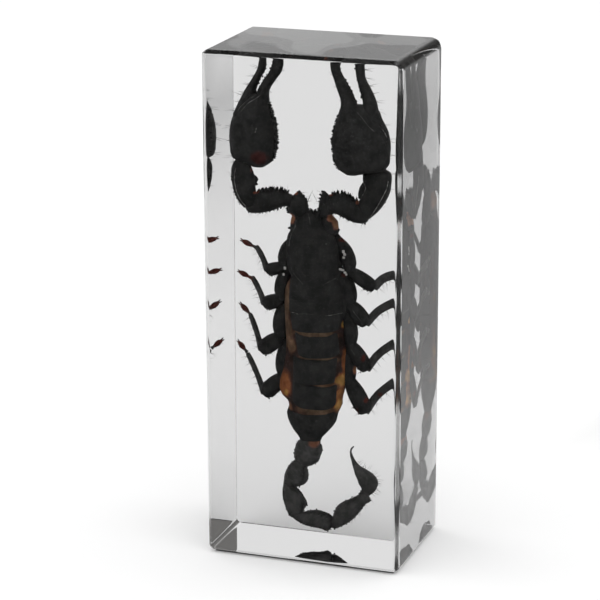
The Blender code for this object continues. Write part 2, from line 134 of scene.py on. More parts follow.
TAIL = {
    "tail_1": (5.8, 6.2, 0.85, (
        (-4.2, 23.6, 0.0, 23.8), (-5.2, 22.4, 0.0, 22.5), (-5.8, 20.8, 0.4, 21.5), (-5.9, 19.4, 0.0, 20.0),
        (-5.7, 18.4, -0.7, 18.4), (-5.0, 17.6, -1.7, 17.6),
    )),
    "tail_2": (6.2, 6.3, 0.85, (
        (-5.5, 18.6, -2.5, 17.9), (-7.1, 16.9, -3.1, 16.6), (-8.0, 15.2, -2.9, 15.6),
        (-8.3, 13.8, -3.0, 14.2), (-8.4, 12.8, -3.7, 12.9), (-8.1, 12.1, -5.5, 12.0),
    )),
    "tail_3": (6.3, 6.2, 0.85, (
        (-8.5, 12.8, -6.0, 12.0), (-8.7, 11.2, -5.1, 11.4), (-8.7, 9.6, -4.1, 10.1), (-8.4, 8.3, -3.4, 9.0),
        (-7.9, 6.8, -3.2, 8.1), (-7.1, 5.2, -3.8, 7.1), (-6.3, 4.8, -4.0, 6.1),
    )),
    "tail_4": (6.2, 7.8, 0.95, (
        (-6.6, 5.0, -3.8, 6.3), (-5.4, 4.1, -3.1, 6.6), (-3.8, 3.4, -1.7, 6.9), (-2.0, 3.0, -0.3, 6.9),
        (-0.1, 2.8, 1.0, 6.5), (1.8, 2.6, 2.3, 5.8), (2.4, 3.4, 2.6, 5.3),
    )),
    "tail_5": (7.8, 6.4, 0.85, (
        (2.2, 3.2, 2.5, 5.6), (3.1, 3.1, 3.0, 7.1), (4.8, 4.0, 3.9, 8.6), (6.1, 4.9, 5.4, 9.8),
        (7.6, 6.3, 6.7, 10.4), (9.1, 8.2, 7.9, 11.2), (10.2, 9.8, 8.8, 11.9), (11.3, 10.7, 9.1, 12.6),
        (11.0, 11.8, 9.5, 12.9),
    )),
    "sting": (6.4, 5.4, 0.95, (
        (11.0, 11.8, 9.4, 12.9), (12.3, 13.0, 9.3, 13.6), (13.0, 14.5, 8.8, 14.5), (12.9, 15.7, 8.5, 15.4),
        (12.0, 16.8, 8.0, 16.5), (10.5, 17.8, 7.7, 17.5), (9.0, 18.6, 7.4, 18.5), (8.0, 19.8, 7.1, 19.7),
        (7.45, 20.9, 6.85, 20.7), (7.2, 21.7, 6.8, 21.5), (7.4, 22.35, 7.0, 22.45),
        (7.8, 22.95, 7.55, 23.05),
    )),
}
# Level slices of the claws, from the wrist up. Their y goes by the side: -1 is left and 1 is right.
CLAW_Y = {-1: 4.3, 1: 2.8}
CLAWS = {
    "left_hand": (
        (83.5, -15.0, -12.2, 1.4), (84.1, -16.2, -11.3, 2.4), (84.9, -19.0, -10.4, 3.2),
        (85.9, -19.6, -9.9, 3.7), (87.6, -19.8, -9.5, 4.1), (90.2, -19.9, -9.3, 4.3),
        (93.2, -19.4, -9.7, 4.0), (95.6, -18.4, -10.4, 3.4), (97.6, -17.1, -11.0, 2.8),
        (99.2, -15.5, -11.1, 2.2),
    ),
    "left_outer_finger": (
        (94.6, -19.0, -16.2, 2.7), (97.9, -17.4, -14.4, 2.4), (100.1, -16.2, -13.9, 2.1),
        (102.3, -14.8, -13.0, 1.5), (104.5, -13.6, -11.8, 1.3), (106.6, -13.1, -11.6, 1.1),
        (108.2, -12.5, -11.6, 0.6),
    ),
    "left_inner_finger": (
        (97.2, -14.4, -11.0, 2.5), (99.9, -13.5, -11.0, 2.2), (102.1, -12.3, -9.7, 1.5),
        (104.3, -10.8, -8.2, 1.3), (106.6, -10.1, -7.9, 1.1), (108.2, -10.1, -8.9, 0.6),
    ),
    "right_hand": (
        (83.5, 6.3, 8.9, 1.4), (84.0, 5.4, 10.9, 2.4), (84.8, 4.4, 14.3, 3.3), (86.0, 3.9, 15.5, 3.8),
        (87.8, 3.5, 15.8, 4.2), (90.5, 3.2, 15.9, 4.3), (93.5, 3.8, 15.2, 4.0), (95.8, 4.5, 14.0, 3.4),
        (97.5, 5.0, 13.2, 2.8), (98.2, 5.5, 12.3, 2.2),
    ),
    "right_inner_finger": (
        (96.7, 5.0, 9.3, 2.6), (99.2, 5.1, 8.3, 2.4), (101.2, 4.4, 7.4, 2.1), (103.5, 3.6, 6.0, 1.8),
        (105.5, 2.9, 5.0, 1.3), (107.2, 2.8, 4.8, 1.1), (108.7, 3.4, 4.5, 0.6),
    ),
    "right_outer_finger": (
        (96.8, 9.8, 13.3, 2.7), (99.2, 9.9, 12.8, 2.3), (101.7, 9.2, 11.7, 2.0), (104.2, 8.5, 10.4, 1.4),
        (106.2, 8.2, 10.2, 1.2), (107.7, 8.2, 9.9, 1.0), (108.8, 8.3, 9.3, 0.6),
    ),
}
# Hip, elbow, knee, ankle, instep, toe, then half widths of femur, patella and tibia.
LEGS = {
    "left_1": (
        (-6.3, 6.3, 67.6), (-7.9, 5.2, 61.8), (-11.9, 5.6, 60.7), (-14.9, 8.2, 65.2), (-16.0, 8.9, 65.2),
        (-18.5, 9.8, 66.0), (1.3, 1.3, 0.62),
    ),
    "left_2": (
        (-6.9, 6.3, 61.5), (-8.5, 5.2, 54.6), (-12.6, 5.6, 53.1), (-15.9, 8.2, 58.3), (-17.0, 8.9, 58.3),
        (-19.2, 9.8, 59.0), (1.5, 1.5, 0.62),
    ),
    "left_3": (
        (-7.2, 6.3, 54.3), (-8.8, 5.2, 46.2), (-13.4, 5.6, 42.7), (-16.4, 8.2, 49.8), (-17.0, 8.9, 50.2),
        (-18.9, 9.8, 51.7), (1.6, 1.7, 0.62),
    ),
    "left_4": (
        (-7.0, 6.3, 45.6), (-8.2, 5.2, 37.2), (-12.8, 5.6, 32.9), (-17.1, 8.2, 41.0), (-17.9, 8.9, 41.7),
        (-19.5, 9.8, 43.1), (1.5, 1.7, 0.62),
    ),
    "right_1": (
        (3.8, 6.3, 68.4), (6.6, 5.2, 62.2), (12.0, 5.6, 59.0), (17.1, 8.0, 62.1), (17.9, 8.4, 62.6),
        (18.8, 8.9, 63.8), (1.5, 1.5, 0.98),
    ),
    "right_2": (
        (4.0, 6.3, 62.0), (6.8, 5.2, 55.0), (10.3, 5.6, 50.8), (17.1, 8.0, 56.3), (17.9, 8.4, 55.9),
        (18.8, 9.0, 55.5), (1.5, 1.7, 0.92),
    ),
    "right_3": (
        (4.3, 6.3, 54.7), (6.9, 5.2, 46.1), (10.5, 5.6, 40.7), (17.1, 8.0, 47.4), (17.9, 8.5, 47.2),
        (18.8, 9.2, 46.9), (1.6, 1.7, 0.92),
    ),
    "right_4": (
        (4.1, 6.3, 46.0), (6.8, 5.2, 37.8), (10.3, 5.6, 31.1), (17.1, 8.0, 38.8), (17.9, 8.6, 39.0),
        (18.8, 9.7, 39.3), (1.4, 1.9, 0.92),
    ),
}
# From the hip to the root of the leg, which lies further in, back and up.
HIP_OFFSET = np.array((1.8, 1.2, 1.3))
# Sideways bow of the limbs. The tibia's goes by the side.
FEMUR_BOW = 0.8
TIBIA_BOW = {-1: 0.2, 1: 0.7}
FEMUR_HALF_DEPTH = 1.3
TIBIA_HALF_DEPTH = 0.8
# Share of the limb's length, and of its half width.
FEMUR_PROFILE = ((0.0, 0.75), (0.35, 1.0), (0.75, 1.05), (1.0, 0.8))
PATELLA_PROFILE = ((0.0, 0.7), (0.25, 0.95), (0.6, 1.05), (0.88, 0.95), (1.0, 0.75))
TIBIA_PROFILE = {
    -1: ((0.0, 1.25), (0.4, 1.0), (0.85, 0.95), (1.0, 0.8)),
    1: ((0.0, 0.95), (0.4, 0.95), (1.0, 1.05)),
}
# Share of the foot's length, half width and half depth.
FOOT_PROFILE = (
    (-0.3, 0.42, 0.5), (0.0, 0.3, 0.36), (0.2, 0.46, 0.55), (0.45, 0.6, 0.7), (0.75, 0.54, 0.62),
    (1.0, 0.28, 0.34),
)

# ---- colour spots: x, z, reach across, reach up, tint and warmth
MEMBRANE_SPOTS_AND_HIGHLIGHT = (
    (-7.6, 54.0, 2.0, 7.0, 0.52, 0.15), (-7.3, 47.5, 2.2, 4.4, 0.52, 0.2),
    (-5.9, 44.9, 1.3, 1.9, 0.58, 0.25), (-7.3, 41.2, 1.8, 2.0, 0.22, 0.8),
    (-7.9, 36.0, 2.3, 3.9, 0.6, 0.95), (-7.2, 34.2, 0.6, 0.8, 0.85, 1.0), (-6.8, 30.9, 1.2, 1.5, 0.5, 0.5),
    # The small full-tint spot at x 5.5, z 50.4 is a painted amber highlight; the other spots are the skin's
    # own colour.
    (5.7, 54.5, 1.1, 2.8, 0.36, 0.9), (4.8, 47.0, 1.3, 2.8, 0.16, 0.9), (5.5, 50.4, 0.55, 1.0, 1.0, 1.0),
    (6.0, 42.0, 0.9, 4.0, 0.62, 0.9), (4.6, 41.6, 0.8, 2.2, 0.16, 0.6), (5.1, 37.9, 1.5, 1.9, 0.86, 0.9),
    (5.1, 34.6, 1.4, 2.4, 0.66, 0.8), (4.6, 31.9, 1.3, 1.9, 0.84, 0.9), (-0.3, 48.1, 5.6, 1.5, 0.5, 0.1),
    (0.2, 42.7, 5.4, 1.2, 0.5, 0.1), (2.4, 36.7, 3.4, 1.0, 0.5, 0.35), (0.2, 30.7, 5.6, 1.8, 0.5, 0.15),
)
ARM_SPOTS = (
    (-12.7, 85.8, 2.4, 1.9, 0.34, 1.0), (2.6, 73.5, 1.3, 0.9, 0.9, 0.9), (3.9, 72.3, 1.25, 2.0, 1.0, 0.9),
    (-6.2, 72.7, 1.1, 1.5, 0.9, 0.9), (8.7, 77.5, 0.6, 0.5, 0.9, 1.0), (-13.6, 78.1, 0.6, 0.4, 0.7, 1.0),
    (-5.4, 78.3, 0.9, 0.5, 0.75, 1.0), (2.6, 78.7, 0.8, 0.5, 0.7, 1.0), (-14.6, 83.2, 0.4, 1.0, 0.5, 0.7),
)
LEG_SPOTS = (
    (-18.0, 59.0, 2.9, 12.0, 0.46, 1.0), (-19.0, 42.6, 1.7, 1.8, 0.46, 1.0),
    (5.0, 68.7, 1.3, 0.6, 0.4, 1.0), (7.0, 68.5, 0.6, 0.5, 0.4, 1.0), (5.4, 61.2, 0.8, 0.7, 0.35, 1.0),
    (10.0, 43.4, 0.7, 1.1, 0.42, 1.0), (13.4, 35.2, 0.6, 0.5, 0.45, 1.0), (10.5, 33.9, 0.6, 0.9, 0.42, 1.0),
    (8.0, 40.4, 0.5, 1.2, 0.95, 1.0), (10.2, 49.5, 0.8, 0.4, 0.9, 0.9), (10.6, 39.5, 0.8, 0.4, 0.9, 0.9),
    (10.4, 29.7, 0.8, 0.4, 0.9, 0.9), (-13.2, 31.9, 0.7, 0.4, 0.8, 0.9), (8.6, 30.6, 0.4, 1.8, 0.45, 1.0),
)
TAIL_SPOTS = ((-1.1, 23.1, 1.5, 1.2, 0.8, 0.8),)
# Pale seams and painted highlights on the shell, laid as pale strands: the highlights are air-film streaks,
# sheen on edges and glints. Half width, paleness, then points x, z.
PALE_SEAMS_AND_HIGHLIGHTS = (
    (0.05, 0.75, (-12.3, 99.3), (-13.7, 98.2), (-14.8, 97.6), (-15.9, 96.5), (-16.6, 95.5)),
    (0.045, 0.65, (-13.6, 99.0), (-14.9, 98.3), (-15.9, 97.4), (-17.0, 96.3), (-17.5, 95.4), (-18.2, 94.3)),
    (0.08, 0.85, (-13.0, 92.4), (-13.3, 91.3)),
    (0.08, 0.9, (-18.0, 83.1), (-18.2, 82.0), (-18.2, 80.2), (-17.8, 78.2), (-17.0, 76.5), (-15.7, 75.0)),
    (0.065, 0.82, (14.5, 93.9), (15.0, 93.1), (15.4, 92.1)),
    (0.052, 0.52, (9.2, 97.3), (10.6, 95.9), (11.8, 94.5), (13.1, 93.4)),
    (0.07, 0.8, (10.4, 81.9), (10.6, 80.8), (10.2, 79.8), (9.6, 78.8), (9.3, 78.1)),
    (
        0.09, 0.85, (15.5, 82.7), (15.4, 82.1), (15.2, 81.0), (14.3, 79.2), (13.4, 77.5), (12.6, 76.2),
        (11.6, 74.7),
    ),
    (
        0.052, 0.72, (-4.8, 72.9), (-5.2, 71.9), (-5.2, 71.0), (-5.8, 70.0), (-6.1, 69.0), (-6.4, 67.9),
        (-6.5, 66.8),
    ),
    (0.039, 0.62, (-6.0, 62.4), (-5.5, 61.2), (-4.7, 60.3), (-3.9, 59.6), (-3.1, 58.9)),
    (0.039, 0.67, (3.9, 60.6), (3.0, 60.1), (2.1, 59.6), (1.2, 59.1)),
    (0.052, 0.57, (-2.4, 74.2), (-1.9, 73.2), (-1.6, 71.9)),
    (0.052, 0.77, (-6.0, 52.4), (-5.0, 52.4), (-4.2, 52.2)),
    (0.039, 0.57, (-4.2, 52.2), (-2.7, 52.5), (-0.8, 52.5)),
    (0.046, 0.72, (1.9, 52.4), (3.1, 52.6), (4.4, 52.9), (5.5, 53.0)),
    (0.026, 0.57, (-6.1, 55.2), (-4.5, 55.2)),
    (0.12, 0.9, (1.85, 68.1), (1.95, 68.0)),
    (0.08, 0.7, (4.1, 60.4), (4.2, 60.3)),
    (0.052, 0.72, (-7.5, 16.7), (-7.6, 15.4), (-7.0, 14.0)),
    (0.039, 0.62, (7.5, 53.9), (8.2, 53.0), (9.4, 51.6)),
    (0.039, 0.67, (7.3, 45.0), (8.1, 43.9)),
)
# Air pockets beside the carapace, painted pale for their silvery reflection: x, y, z, half width and half
# height.
AIR_POCKET_HIGHLIGHTS = (
    (5.6, 3.4, 66.6, 0.3, 0.55), (5.9, 3.4, 66.0, 0.3, 0.45), (5.7, 3.4, 65.3, 0.28, 0.4),
    (5.0, 3.2, 62.7, 0.34, 0.36), (5.5, 3.2, 62.6, 0.36, 0.34), (6.0, 3.2, 62.1, 0.3, 0.34),
    (6.3, 3.2, 61.7, 0.22, 0.36), (-7.5, 3.6, 61.8, 0.28, 0.55), (-7.8, 3.6, 60.4, 0.24, 0.45),
)


# ---- mesh tools
# Angles of the sides of a three-sided tube.
THIRDS = (0.0, 2.094, 4.189)
SHARP_DEGREES = 50
LEAST_HALF_WIDTH = 0.02
# Back plates: points round one, rings between two of its rows, and depth of its hidden back side.
PLATE_SIDES = 72
PLATE_STEPS = 4
PLATE_BACK = 0.6
# Angles, in degrees, of the rings that round off the end of a limb.
CAP_DEGREES = (80.0, 60.0, 40.0, 20.0)
# Share of its height and of its radius, at each ring of a stud.
STUD_PROFILE = ((-0.4, 1.0), (0.25, 0.95), (0.7, 0.55), (0.97, 0.12))
STUD_SIDES = 6
# Hairs: shares of the length that they vary over, scatter of their ways, and places of their rings.
HAIR_LENGTHS = (0.55, 1.15)
HAIR_SCATTER = 0.22
HAIR_STEPS = (0.0, 0.35, 0.7, 1.0)
HAIR_ROOT = 0.04
# Colour spots: scale and strength of the noise on their edges, and how hard the edges are.
SPOT_NOISE = 0.9
SPOT_RAGGED = 0.22
SPOT_HARDNESS = 2.6


def unit(vectors):
    return vectors / np.maximum(np.linalg.norm(vectors, axis=-1, keepdims=True), 1e-9)


def rounded(angles, power):
    """A ring's two coordinates at the angles: an ellipse with a power of 2, squarer with more."""
    cos, sin = np.cos(angles), np.sin(angles)
    share = 2.0 / power
    return np.sign(cos) * np.abs(cos) ** share, np.sign(sin) * np.abs(sin) ** share


def resampled(rows, places):
    """The rows of a table at places between them."""
    return np.column_stack([np.interp(places, range(len(rows)), column) for column in np.transpose(rows)])


def apart(angles, centre):
    """How far the angles are from another one, either way round."""
    return np.abs((angles - centre + np.pi) % (2 * np.pi) - np.pi)


def side_of(name):
    return -1 if name.startswith("left") else 1


def placed(name, data):
    """A new object in the scene."""
    made = bpy.data.objects.new(name, data)
    bpy.context.scene.collection.objects.link(made)
    return made


class Limb:
    """A smooth tapering body through stations of centre x, y, z, half width and half depth."""

    def __init__(self, stations, level=False, power=2.0):
        self.stations = np.array(stations, float)
        self.level = level
        self.power = power
        steps = np.linalg.norm(np.diff(self.stations[:, :3], axis=0), axis=1)
        self.knots = np.concatenate(([0.0], np.cumsum(steps)))
        self.slopes = np.gradient(self.stations, self.knots, axis=0)

    def sample(self, places):
        """Values of all columns and their slopes, at places from 0 to 1."""
        at = np.atleast_1d(np.asarray(places, float)) * self.knots[-1]
        index = np.clip(np.searchsorted(self.knots, at, side="right") - 1, 0, len(self.knots) - 2)
        gap = (self.knots[index + 1] - self.knots[index])[:, None]
        t = (at - self.knots[index])[:, None] / gap
        p0, p1 = self.stations[index], self.stations[index + 1]
        m0, m1 = self.slopes[index] * gap, self.slopes[index + 1] * gap
        value = p0 + (3 - 2 * t) * t**2 * (p1 - p0) + t * (1 - t) * ((1 - t) * m0 - t * m1)
        slope = 6 * t * (1 - t) * (p1 - p0) + (1 - t) * (1 - 3 * t) * m0 + t * (3 * t - 2) * m1
        return value, slope

    def frames(self, places):
        """Centres, width axes, depth axes, half widths, half depths and directions along."""
        value, slope = self.sample(places)
        along = np.tile(UP, (len(value), 1)) if self.level else unit(slope[:, :3])
        depth_axis = unit(BACK - along * along[:, 1:2])
        width_axis = np.cross(along, depth_axis)
        return value[:, :3], width_axis, depth_axis, np.abs(value[:, 3]), np.abs(value[:, 4]), along

    def line(self, start, end, count, direction, turn=0.0):
        """Points along the side that faces a direction, turned by an angle, and the ways out there."""
        centre, wide, deep, half_width, half_depth, _ = self.frames(np.linspace(start, end, count))
        angles = np.arctan2(deep @ direction, wide @ direction) + turn
        x, y = rounded(angles, self.power)
        across = wide * (half_width * x)[:, None] + deep * (half_depth * y)[:, None]
        out = wide * (np.cos(angles) / half_width)[:, None] + deep * (np.sin(angles) / half_depth)[:, None]
        return centre + across, unit(out)


class Outline(Limb):
    """A body between two drawn edges, from rows of x, z of one edge and x, z of the other."""

    def __init__(self, table, power=2.4):
        y_start, y_end, self.depth_share, rows = table
        rows = np.array(rows, float)
        y = np.linspace(y_start, y_end, len(rows))
        middle = (rows[:, :2] + rows[:, 2:]) / 2
        across = (rows[:, 2:] - rows[:, :2]) / 2
        super().__init__(np.column_stack((middle[:, 0], y, middle[:, 1], across)), power=power)

    def frames(self, places):
        value, slope = self.sample(places)
        across = np.column_stack((value[:, 3], np.zeros(len(value)), value[:, 4]))
        half_width = np.maximum(np.linalg.norm(across, axis=1), LEAST_HALF_WIDTH)
        wide = across / half_width[:, None]
        deep = np.tile(BACK, (len(value), 1))
        along = np.cross(deep, wide)
        along = along * np.where((along * slope[:, :3]).sum(axis=1) < 0, -1.0, 1.0)[:, None]
        return value[:, :3], wide, deep, half_width, half_width * self.depth_share, along


def lying_on(limb):
    """The depth coordinate of an upright limb's front skin, as a function of x and z."""
    centre, _, _, half_width, half_depth, _ = limb.frames(np.linspace(0, 1, 200))
    order = np.argsort(centre[:, 2])
    heights = centre[order, 2]
    columns = np.column_stack((centre[:, :2], half_width, half_depth))[order]

    def front(x, z):
        middle, y, wide, deep = (np.interp(z, heights, column) for column in columns.T)
        away = np.clip(np.abs(x - middle) / wide, 0.0, 0.985)
        return y - deep * (1 - away**limb.power) ** (1 / limb.power)

    return front


class Piece:
    """Meshes gathered into one object, with a tint from 0 to 1 at each point."""

    def __init__(self):
        self.points, self.faces, self.tints, self.count = [], [], [], 0

    def rings(self, rings, tint=0.0):
        """A closed skin over rings of the same number of points, with a point at each end."""
        rings = np.asarray(rings, float)
        rows, sides = rings.shape[:2]
        tip = self.count + rows * sides
        for low in range(self.count, tip - sides, sides):
            for side in range(sides):
                after = (side + 1) % sides
                self.faces.append((low + side, low + after, low + sides + after, low + sides + side))
        for side in range(sides):
            after = (side + 1) % sides
            self.faces.append((self.count + after, self.count + side, tip))
            self.faces.append((tip - sides + side, tip - sides + after, tip + 1))
        tints = np.broadcast_to(np.reshape(tint, (-1, 1)), (rows, sides))
        self.points += [rings.reshape(-1, 3), rings[[0, -1]].mean(axis=1)]
        self.tints += [tints.ravel(), tints[[0, -1], 0]]
        self.count = tip + 2

    def skin(self, limb, sides=24, rows=24, tint=0.0, relief=None, dome=0.55):
        """The limb's skin with rounded ends. relief scales it by its angles. tint may vary along it."""
        turns = np.sin(np.radians(CAP_DEGREES))
        past = np.concatenate((-turns, np.zeros(rows), turns[::-1]))
        places = np.concatenate((turns * 0, np.linspace(0, 1, rows), turns * 0 + 1))
        centre, wide, deep, half_width, half_depth, along = limb.frames(places)
        centre = centre + along * (past * dome * np.minimum(half_width, half_depth))[:, None]
        angles = 2 * np.pi * np.arange(sides) / sides
        x, y = rounded(angles, limb.power)
        swell = np.sqrt(1 - past**2)[:, None] * (relief(angles) if relief else 1.0)
        across = wide[:, None] * (half_width[:, None] * x * swell)[..., None]
        rings = centre[:, None] + across + deep[:, None] * (half_depth[:, None] * y * swell)[..., None]
        self.rings(rings, [tint(place) if callable(tint) else tint for place in places])

    def studs(self, points, outward, radius, height):
        """Small blunt cones that stand on a surface."""
        outward = unit(outward)
        radius = np.broadcast_to(radius, len(points))
        height = np.broadcast_to(height, len(points))
        first = unit(np.cross(outward, np.where(np.abs(outward[:, 2:3]) < 0.8, UP, RIGHT)))
        second = np.cross(outward, first)
        angles = 2 * np.pi * np.arange(STUD_SIDES)[:, None] / STUD_SIDES
        circle = first[:, None] * np.cos(angles) + second[:, None] * np.sin(angles)
        for i, point in enumerate(points):
            self.rings([
                point + outward[i] * height[i] * rise + circle[i] * radius[i] * wide
                for rise, wide in STUD_PROFILE
            ])

    def hairs(self, points, outward, length, thickness, droop, tint):
        """Thin tapering bristles that bend."""
        for point, way in zip(points, unit(outward)):
            reach = length * RANDOM.uniform(*HAIR_LENGTHS)
            way = unit(way + RANDOM.normal(0, HAIR_SCATTER, 3))
            sideways = unit(np.cross(way, UP + 0.01))
            bend = unit(RANDOM.normal(0, 1, 3) + sideways) * droop
            third = np.cross(way, sideways)
            rings = []
            for step in HAIR_STEPS:
                middle = point + way * reach * (step - HAIR_ROOT) + bend * reach * step**2
                middle[0] = np.clip(middle[0], -MOST_HAIR_X, MOST_HAIR_X)
                thin = thickness * (1.05 - 0.85 * step)
                rings.append(
                    [middle + (sideways * math.cos(a) + third * math.sin(a)) * thin for a in THIRDS]
                )
            self.rings(rings, tint)

    def strand(self, points, thickness, tint):
        """A thin three-sided tube through points."""
        points = np.array(points)
        along = unit(np.gradient(points, axis=0))
        first = unit(np.cross(along, BACK + 0.01))
        second = np.cross(along, first)
        order = np.arange(len(points))
        taper = thickness * np.minimum(1.0, 0.45 + np.minimum(order, order[::-1]))[:, None]
        rings = [points + (first * math.cos(a) + second * math.sin(a)) * taper for a in THIRDS]
        self.rings(np.stack(rings, axis=1), tint)

    def coloured(self, warmth, spots):
        """Tint and warmth of all points, with the spots laid over them."""
        points = np.concatenate(self.points)
        colour = np.column_stack((np.concatenate(self.tints), np.full(len(points), warmth)))
        ragged = np.array([noise.noise(Vector(point) * SPOT_NOISE) for point in points]) if spots else 0.0
        for x, z, wide, high, *aim in spots:
            away = np.hypot((points[:, 0] - x) / wide, (points[:, 2] - z) / high) + SPOT_RAGGED * ragged
            share = np.clip(SPOT_HARDNESS - SPOT_HARDNESS * away, 0.0, 1.0)[:, None]
            colour = colour + (np.array(aim) - colour) * share
        return colour.T

    def build(self, name, surface, grain=0.0, grain_size=0.5, spots=(), warmth=0.0):
        """The object in metres. grain is the height of fine lumps on its skin, in millimetres."""
        mesh = bpy.data.meshes.new(name)
        mesh.from_pydata((np.concatenate(self.points) * MM).tolist(), [], self.faces)
        mesh.validate()
        fixed = bmesh.new()
        fixed.from_mesh(mesh)
        bmesh.ops.recalc_face_normals(fixed, faces=fixed.faces)
        fixed.to_mesh(mesh)
        fixed.free()
        for kind, values in zip(("tint", "warmth"), self.coloured(warmth, spots)):
            mesh.attributes.new(kind, "FLOAT", "POINT").data.foreach_set("value", values.astype(np.float32))
        if grain:
            for vert, normal in zip(mesh.vertices, mesh.vertex_normals):
                spot = Vector(vert.co) / (grain_size * MM)
                lump = noise.noise(spot) + 0.5 * noise.noise(spot * 2.3)
                vert.co += normal.vector * lump * grain * MM
        mesh.shade_smooth()
        mesh.set_sharp_from_angle(angle=math.radians(SHARP_DEGREES))
        mesh.materials.append(surface)
        made = placed(name, mesh)
        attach(made, "root")
        return made


def sagging(rows, y, power=3.2, curve=4.0):
    """Rings of an upright shell, from rows as in LAST_PLATE. With a function y, it lies on that skin."""
    rows = resampled(rows, np.linspace(0, len(rows) - 1, (len(rows) - 1) * PLATE_STEPS + 1))
    angles = 2 * np.pi * np.arange(PLATE_SIDES) / PLATE_SIDES
    ex = np.cos(angles)
    ey = np.sign(np.sin(angles)) * (1 - np.abs(ex) ** power) ** (1 / power)
    front = np.clip(-2 * ey, 0.0, 1.0)
    rings = []
    for left, left_z, right, right_z, deep, sag in rows:
        x = (left + right) / 2 + (right - left) / 2 * ex
        z = (left_z + right_z) / 2 + (right_z - left_z) / 2 * ex - sag * (1 - np.abs(ex) ** curve) * front
        depth = y(x, z) + np.where(ey < 0, deep, PLATE_BACK) * ey if callable(y) else y + deep * ey
        rings.append(np.column_stack((x, depth, z)))
    return rings


def upright(table, y, power):
    """A body from level slices: z, left, right and half depth."""
    stations = [((left + right) / 2, y, z, (right - left) / 2, deep) for z, left, right, deep in table]
    return Limb(stations, level=True, power=power)


def profile_limb(start, end, profile, half_width, half_depth, bow=0.0):
    """Stations of a limb between two points, bowed sideways, from its profile."""
    sideways = unit(np.cross(end - start, BACK))
    return [
        (*(start + (end - start) * t + sideways * bow * 4 * t * (1 - t)), half_width * s, half_depth * s)
        for t, s in profile
    ]


def keels(turns, height, width):
    """Relief with ridges at the given angles, in degrees."""
    centres = np.radians(turns)
    return lambda angles: 1 + height * np.exp(-((apart(angles[:, None], centres) / width) ** 2)).sum(axis=1)


# ---- materials
MOTTLE_SCALES = (420.0, 1700.0)
DUST_AND_SHEEN_SCALE = 2600.0
GRAIN_DEPTH = 0.00008
WAVE_SCALE = 60.0
WAVE_DEPTH = 0.00005


def material(name):
    """A new material, its tree and its shader."""
    made = bpy.data.materials.new(name)
    made.use_nodes = True
    return made, made.node_tree, made.node_tree.nodes["Principled BSDF"]


def grey(tone):
    return (tone,) * 3 + (1.0,)


def fill(tree, made, sockets):
    """Give each of a node's sockets a value, or a link from another node."""
    for socket, value in sockets.items():
        if isinstance(value, bpy.types.NodeSocket):
            tree.links.new(value, made.inputs[socket])
        else:
            made.inputs[socket].default_value = value


def node(tree, kind, sockets=None, operation=None):
    """The outputs of a new node."""
    made = tree.nodes.new("ShaderNode" + kind)
    if operation:
        made.operation = operation
    fill(tree, made, sockets or {})
    return made.outputs


def ramp(tree, factor, stops):
    """Tones or colours at places from 0 to 1."""
    made = tree.nodes.new("ShaderNodeValToRGB")
    while len(made.color_ramp.elements) < len(stops):
        made.color_ramp.elements.new(0.5)
    for element, (place, colour) in zip(made.color_ramp.elements, stops):
        element.position = place
        element.color = grey(colour) if isinstance(colour, float) else (*colour, 1.0)
    fill(tree, made, {"Fac": factor})
    return made.outputs["Color"]


def noise_field(tree, scale, detail=3.0):
    where = node(tree, "TexCoord")["Object"]
    return node(tree, "TexNoise", {"Vector": where, "Scale": scale, "Detail": detail})["Fac"]


def mixed(tree, factor, first, second, kind="MIX"):
    made = tree.nodes.new("ShaderNodeMix")
    made.data_type = "RGBA"
    made.blend_type = kind
    fill(tree, made, {0: factor, 6: first, 7: second})
    return made.outputs[2]


def product(tree, first, second):
    return mixed(tree, 1.0, first, second, "MULTIPLY")


def bumped(tree, height, strength, distance):
    return node(tree, "Bump", {"Height": height, "Strength": strength, "Distance": distance})["Normal"]


def attribute(tree, name):
    made = tree.nodes.new("ShaderNodeAttribute")
    made.attribute_name = name
    return made.outputs["Fac"]


def shell_material(name, cool, warm, mottle, roughness, specular, grain_scale, bump):
    """Shell: tint and warmth pick the colour, noise mottles it, adds pale specks of dust and painted sheen,
    and roughens the gloss.
    """
    made, tree, shader = material(name)
    tint, warmth = attribute(tree, "tint"), attribute(tree, "warmth")
    colour = mixed(tree, warmth, ramp(tree, tint, cool), ramp(tree, tint, warm))
    for scale, low in zip(MOTTLE_SCALES, (mottle, (1 + mottle) / 2)):
        colour = product(tree, colour, ramp(tree, noise_field(tree, scale), ((0.35, low), (0.65, 1.0))))
    # Pale specks: dust, and painted sheen on the granules.
    dust_and_sheen_specks = ramp(tree, noise_field(tree, DUST_AND_SHEEN_SCALE, 1.0), ((0.68, 0.0), (0.76, 0.03)))
    grain = noise_field(tree, grain_scale, 2.0)
    fill(tree, shader, {
        "Base Color": mixed(tree, 1.0, colour, dust_and_sheen_specks, "ADD"),
        "Roughness": ramp(tree, grain, ((0.3, roughness), (0.7, roughness + 0.2))),
        "Specular IOR Level": specular,
        "Normal": bumped(tree, grain, bump, GRAIN_DEPTH),
    })
    return made


def resin_material():
    """Clear resin by transmission, IOR and absorption, with a softer gloss on the upright edges."""
    made, tree, shader = material("clear_resin")
    facing = node(tree, "VectorMath", {0: node(tree, "TexCoord")["Normal"]}, "ABSOLUTE")["Vector"]
    turned = node(tree, "VectorMath", {0: facing, 1: (1.0, 1.0, -1.5)}, "DOT_PRODUCT")["Value"]
    soft = node(tree, "MapRange", {"Value": turned, "From Min": 1.05, "From Max": 1.3, "To Max": 0.22})
    fill(tree, shader, {
        "Base Color": grey(1.0),
        "Transmission Weight": 1.0,
        "IOR": 1.55,
        "Specular Tint": grey(0.0),
        "Roughness": soft["Result"],
        "Normal": bumped(tree, noise_field(tree, WAVE_SCALE, 1.0), 0.02, WAVE_DEPTH),
    })
    absorbed = node(tree, "VolumeAbsorption", {"Color": grey(0.9), "Density": 118.0})["Volume"]
    fill(tree, tree.nodes["Material Output"], {"Volume": absorbed})
    return made


